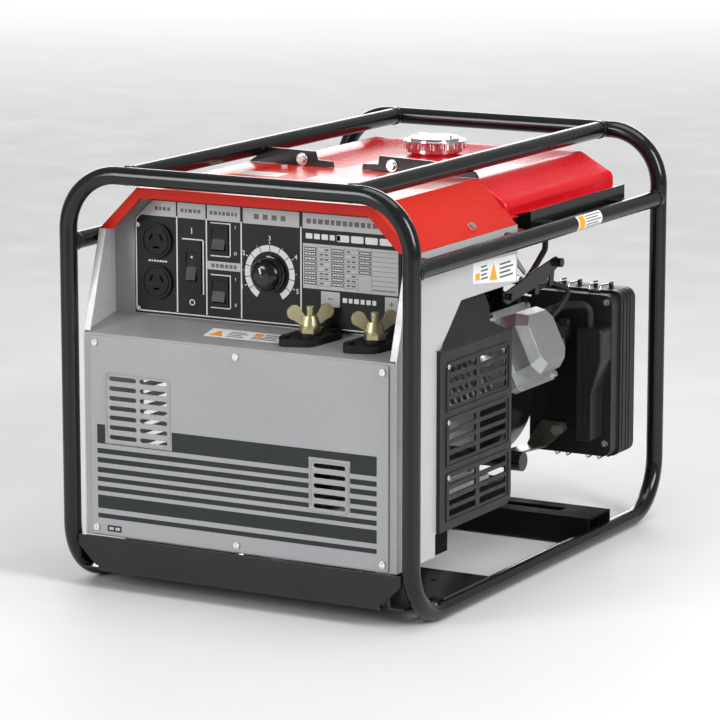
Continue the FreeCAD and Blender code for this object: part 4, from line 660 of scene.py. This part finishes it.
join("shelf_label", [slab(rounded(-62.0, 44.0, 24.0, 49.0, 1.2, 3), shelf, T)], LABEL_WHITE)
join("shelf_label_band", [slab([(-57.0, 27.5), (-37.0, 27.5), (-47.0, 45.0)], lambda u, v, w: shelf(u, v, w + T), 0.05),
                          slab(rounded(2.0, 14.0, 36.5, 45.0, 0.6, 2), lambda u, v, w: shelf(u, v, w + T), 0.05)],
     LABEL_AMBER)
parts = []
for i in range(4):
    parts.append(slab(rounded(-32.0, -6.0 - 5.0 * (i % 2), 28.2 + 4.6 * i, 30.2 + 4.6 * i, 0.4, 2),
                      lambda u, v, w: shelf(u, v, w + T), 0.05))
    x0 = 17.0 if i > 1 else 2.0
    parts.append(slab(rounded(x0, 40.0 - 4.0 * (i % 2), 28.2 + 4.6 * i, 30.2 + 4.6 * i, 0.4, 2),
                      lambda u, v, w: shelf(u, v, w + T), 0.05))
join("shelf_label_lines", parts, LABEL_LINE)
tp = top(503.0)
tp2 = top(503.0 + T)
join("cover_labels", [slab(rounded(-150.0, -62.0, 206.0, 236.0, 1.2, 3), tp, T), slab(rounded(-20.0, 52.0, 204.0, 230.0, 1.2, 3), tp, T)],
     LABEL_WHITE)
parts = [slab(rounded(-145.0, -128.0, 209.0, 233.0, 0.8, 2), tp2, 0.05)]
join("cover_label_band", parts, LABEL_AMBER)
parts = []
for i in range(4):
    parts.append(slab(rounded(-124.0, -68.0 - 9.0 * (i % 2), 210.0 + 6.2 * i, 212.4 + 6.2 * i, 0.4, 2), tp2, 0.05))
    parts.append(slab(rounded(-15.0, 46.0 - 11.0 * (i % 2), 208.0 + 5.4 * i, 210.2 + 5.4 * i, 0.4, 2), tp2, 0.05))
join("cover_label_lines", parts, LABEL_LINE)
rt = right(220.0)
rt2 = right(220.0 + T)
join("side_label", [slab([(196.0, 391.0), (313.5, 377.4), (313.5, 411.5), (196.0, 416.5)], rt, T)], LABEL_WHITE)
join("side_label_band", [slab([(240.0, 389.0), (262.0, 386.6), (251.5, 409.5)], rt2, 0.05),
                         slab(rounded(202.0, 214.0, 393.5, 402.0, 0.6, 2), rt2, 0.05)], LABEL_AMBER)
parts = []
for i in range(4):
    parts.append(slab(rounded(268.0, 305.0 - 7.0 * (i % 2), 387.4 + 5.4 * i, 389.6 + 5.4 * i, 0.4, 2), rt2, 0.05))
    parts.append(slab(rounded(217.0, 236.0 - 3.0 * (i % 2), 392.6 + 5.0 * i, 394.6 + 5.0 * i, 0.4, 2), rt2, 0.05))
join("side_label_lines", parts, LABEL_LINE)


# label wrapped round the right middle rail
def wrap(y0, y1, a0, a1, r, t, seg=14):
    v, f = [], []
    for k in range(2):
        rr = r + t * k
        for y in (y0, y1):
            for i in range(seg + 1):
                a = math.radians(a0 + (a1 - a0) * i / seg)
                v.append(P(240.0 + rr * math.cos(a), y, 434.7 + rr * math.sin(a)))
    m = seg + 1
    for i in range(seg):
        f.append((i, i + 1, m + i + 1, m + i))
        f.append((2 * m + i, 3 * m + i, 3 * m + i + 1, 2 * m + i + 1))
        f.append((i, 2 * m + i, 2 * m + i + 1, i + 1))
        f.append((m + i, m + i + 1, 3 * m + i + 1, 3 * m + i))
    for i in (0, seg):
        f.append((i, m + i, 3 * m + i, 2 * m + i))
    return v, f


join("rail_label", [wrap(430.0, 500.0, -48.0, 62.0, 11.12, T)], LABEL_WHITE)
join("rail_label_band", [wrap(433.0, 449.0, -42.0, 56.0, 11.12 + T, 0.05)], LABEL_AMBER)
join("rail_label_lines", [wrap(453.0, 496.0 - 8.0 * (i % 2), -36.0 + 19.0 * i, -29.0 + 19.0 * i, 11.12 + T, 0.05, 4) for i in range(5)],
     LABEL_LINE)


# weld beads where the rails meet the hoops
def bead(cx, cz, y, sgn, axis_x):
    """rippled fillet round a rail end; it follows the hoop tube it sits on"""
    v, f = [], []
    nseg, m = 64, 7
    for i in range(nseg):
        a = 2 * math.pi * i / nseg
        ca, sa = math.cos(a), math.sin(a)
        across = (sa if axis_x else ca) * 11.1
        depth = math.sqrt(max(0.0, 11.1 ** 2 - (across * 0.97) ** 2))
        rip = 0.22 * math.sin(i * math.pi * 2 * 13 / nseg)
        for j in range(m):
            b = math.pi / 2 * j / (m - 1)
            rr = min(11.1 + (1.25 + rip * 0.3) * math.cos(b) - 0.1, 12.2)
            yy = depth + (3.4 + rip) * math.sin(b) - 0.3
            v.append(P(cx + rr * ca, y + sgn * yy, cz + rr * sa))
    for i in range(nseg):
        for j in range(m - 1):
            f.append((i * m + j, i * m + j + 1, ((i + 1) % nseg) * m + j + 1, ((i + 1) % nseg) * m + j))
    return v, f


parts = []
for s in (-1, 1):
    parts.append(bead(s * 240.0, 434.7, 0.0, 1, False))
    parts.append(bead(s * 240.0, 434.7, 700.0, -1, False))
    parts.append(bead(s * 156.0, 522.4, 0.0, 1, True))
    parts.append(bead(s * 156.0, 522.4, 700.0, -1, True))
join("weld_beads", parts, WELD, smooth=True)

# ------------------------------------------------------- floor and lights
def mat_floor():
    k = Mat("pale_floor")
    c = k.mix(k.remap(k.noise(1.3, 3.0), 0.35, 0.65, 0.0, 1.0), (0.70, 0.70, 0.70), (0.685, 0.685, 0.69))
    k.set(base=c, rough=k.remap(k.noise(7.0), 0.3, 0.7, 0.55, 0.65), spec=0.2)
    return k.m


me = bpy.data.meshes.new("floor")
me.from_pydata([(-60, -60, 0), (60, -60, 0), (60, 60, 0), (-60, 60, 0)], [], [(0, 1, 2, 3)])
me.materials.append(mat_floor())
floor = bpy.data.objects.new("floor", me)
scene.collection.objects.link(floor)


def area(name, loc, target, size, size_y, energy, col=(1, 1, 1)):
    d = bpy.data.lights.new(name, "AREA")
    d.shape = "RECTANGLE"
    d.size, d.size_y = size, size_y
    d.energy = energy
    d.color = col
    o = bpy.data.objects.new(name, d)
    o.location = loc
    o.rotation_euler = (Vector(target) - Vector(loc)).to_track_quat("-Z", "Y").to_euler()
    scene.collection.objects.link(o)
    return o


area("key", (3.0, -0.9, 1.9), (0, 0, 0.25), 1.1, 2.0, 100.0)
area("fill", (-1.6, -3.3, 1.5), (0, -0.2, 0.25), 1.3, 1.6, 68.0)
area("top", (0.3, 0.0, 2.8), (0, 0, 0.4), 1.6, 2.0, 34.0)
area("back", (-4.45, 8.05, 2.5), (0, 0, 0.45), 9.0, 2.8, 330.0)
w = bpy.data.worlds.new("studio")
w.use_nodes = True
bg = w.node_tree.nodes["Background"]
bg.inputs["Color"].default_value = (1.0, 1.0, 1.0, 1.0)
bg.inputs["Strength"].default_value = 0.34
scene.world = w
scene.view_settings.view_transform = "Standard"
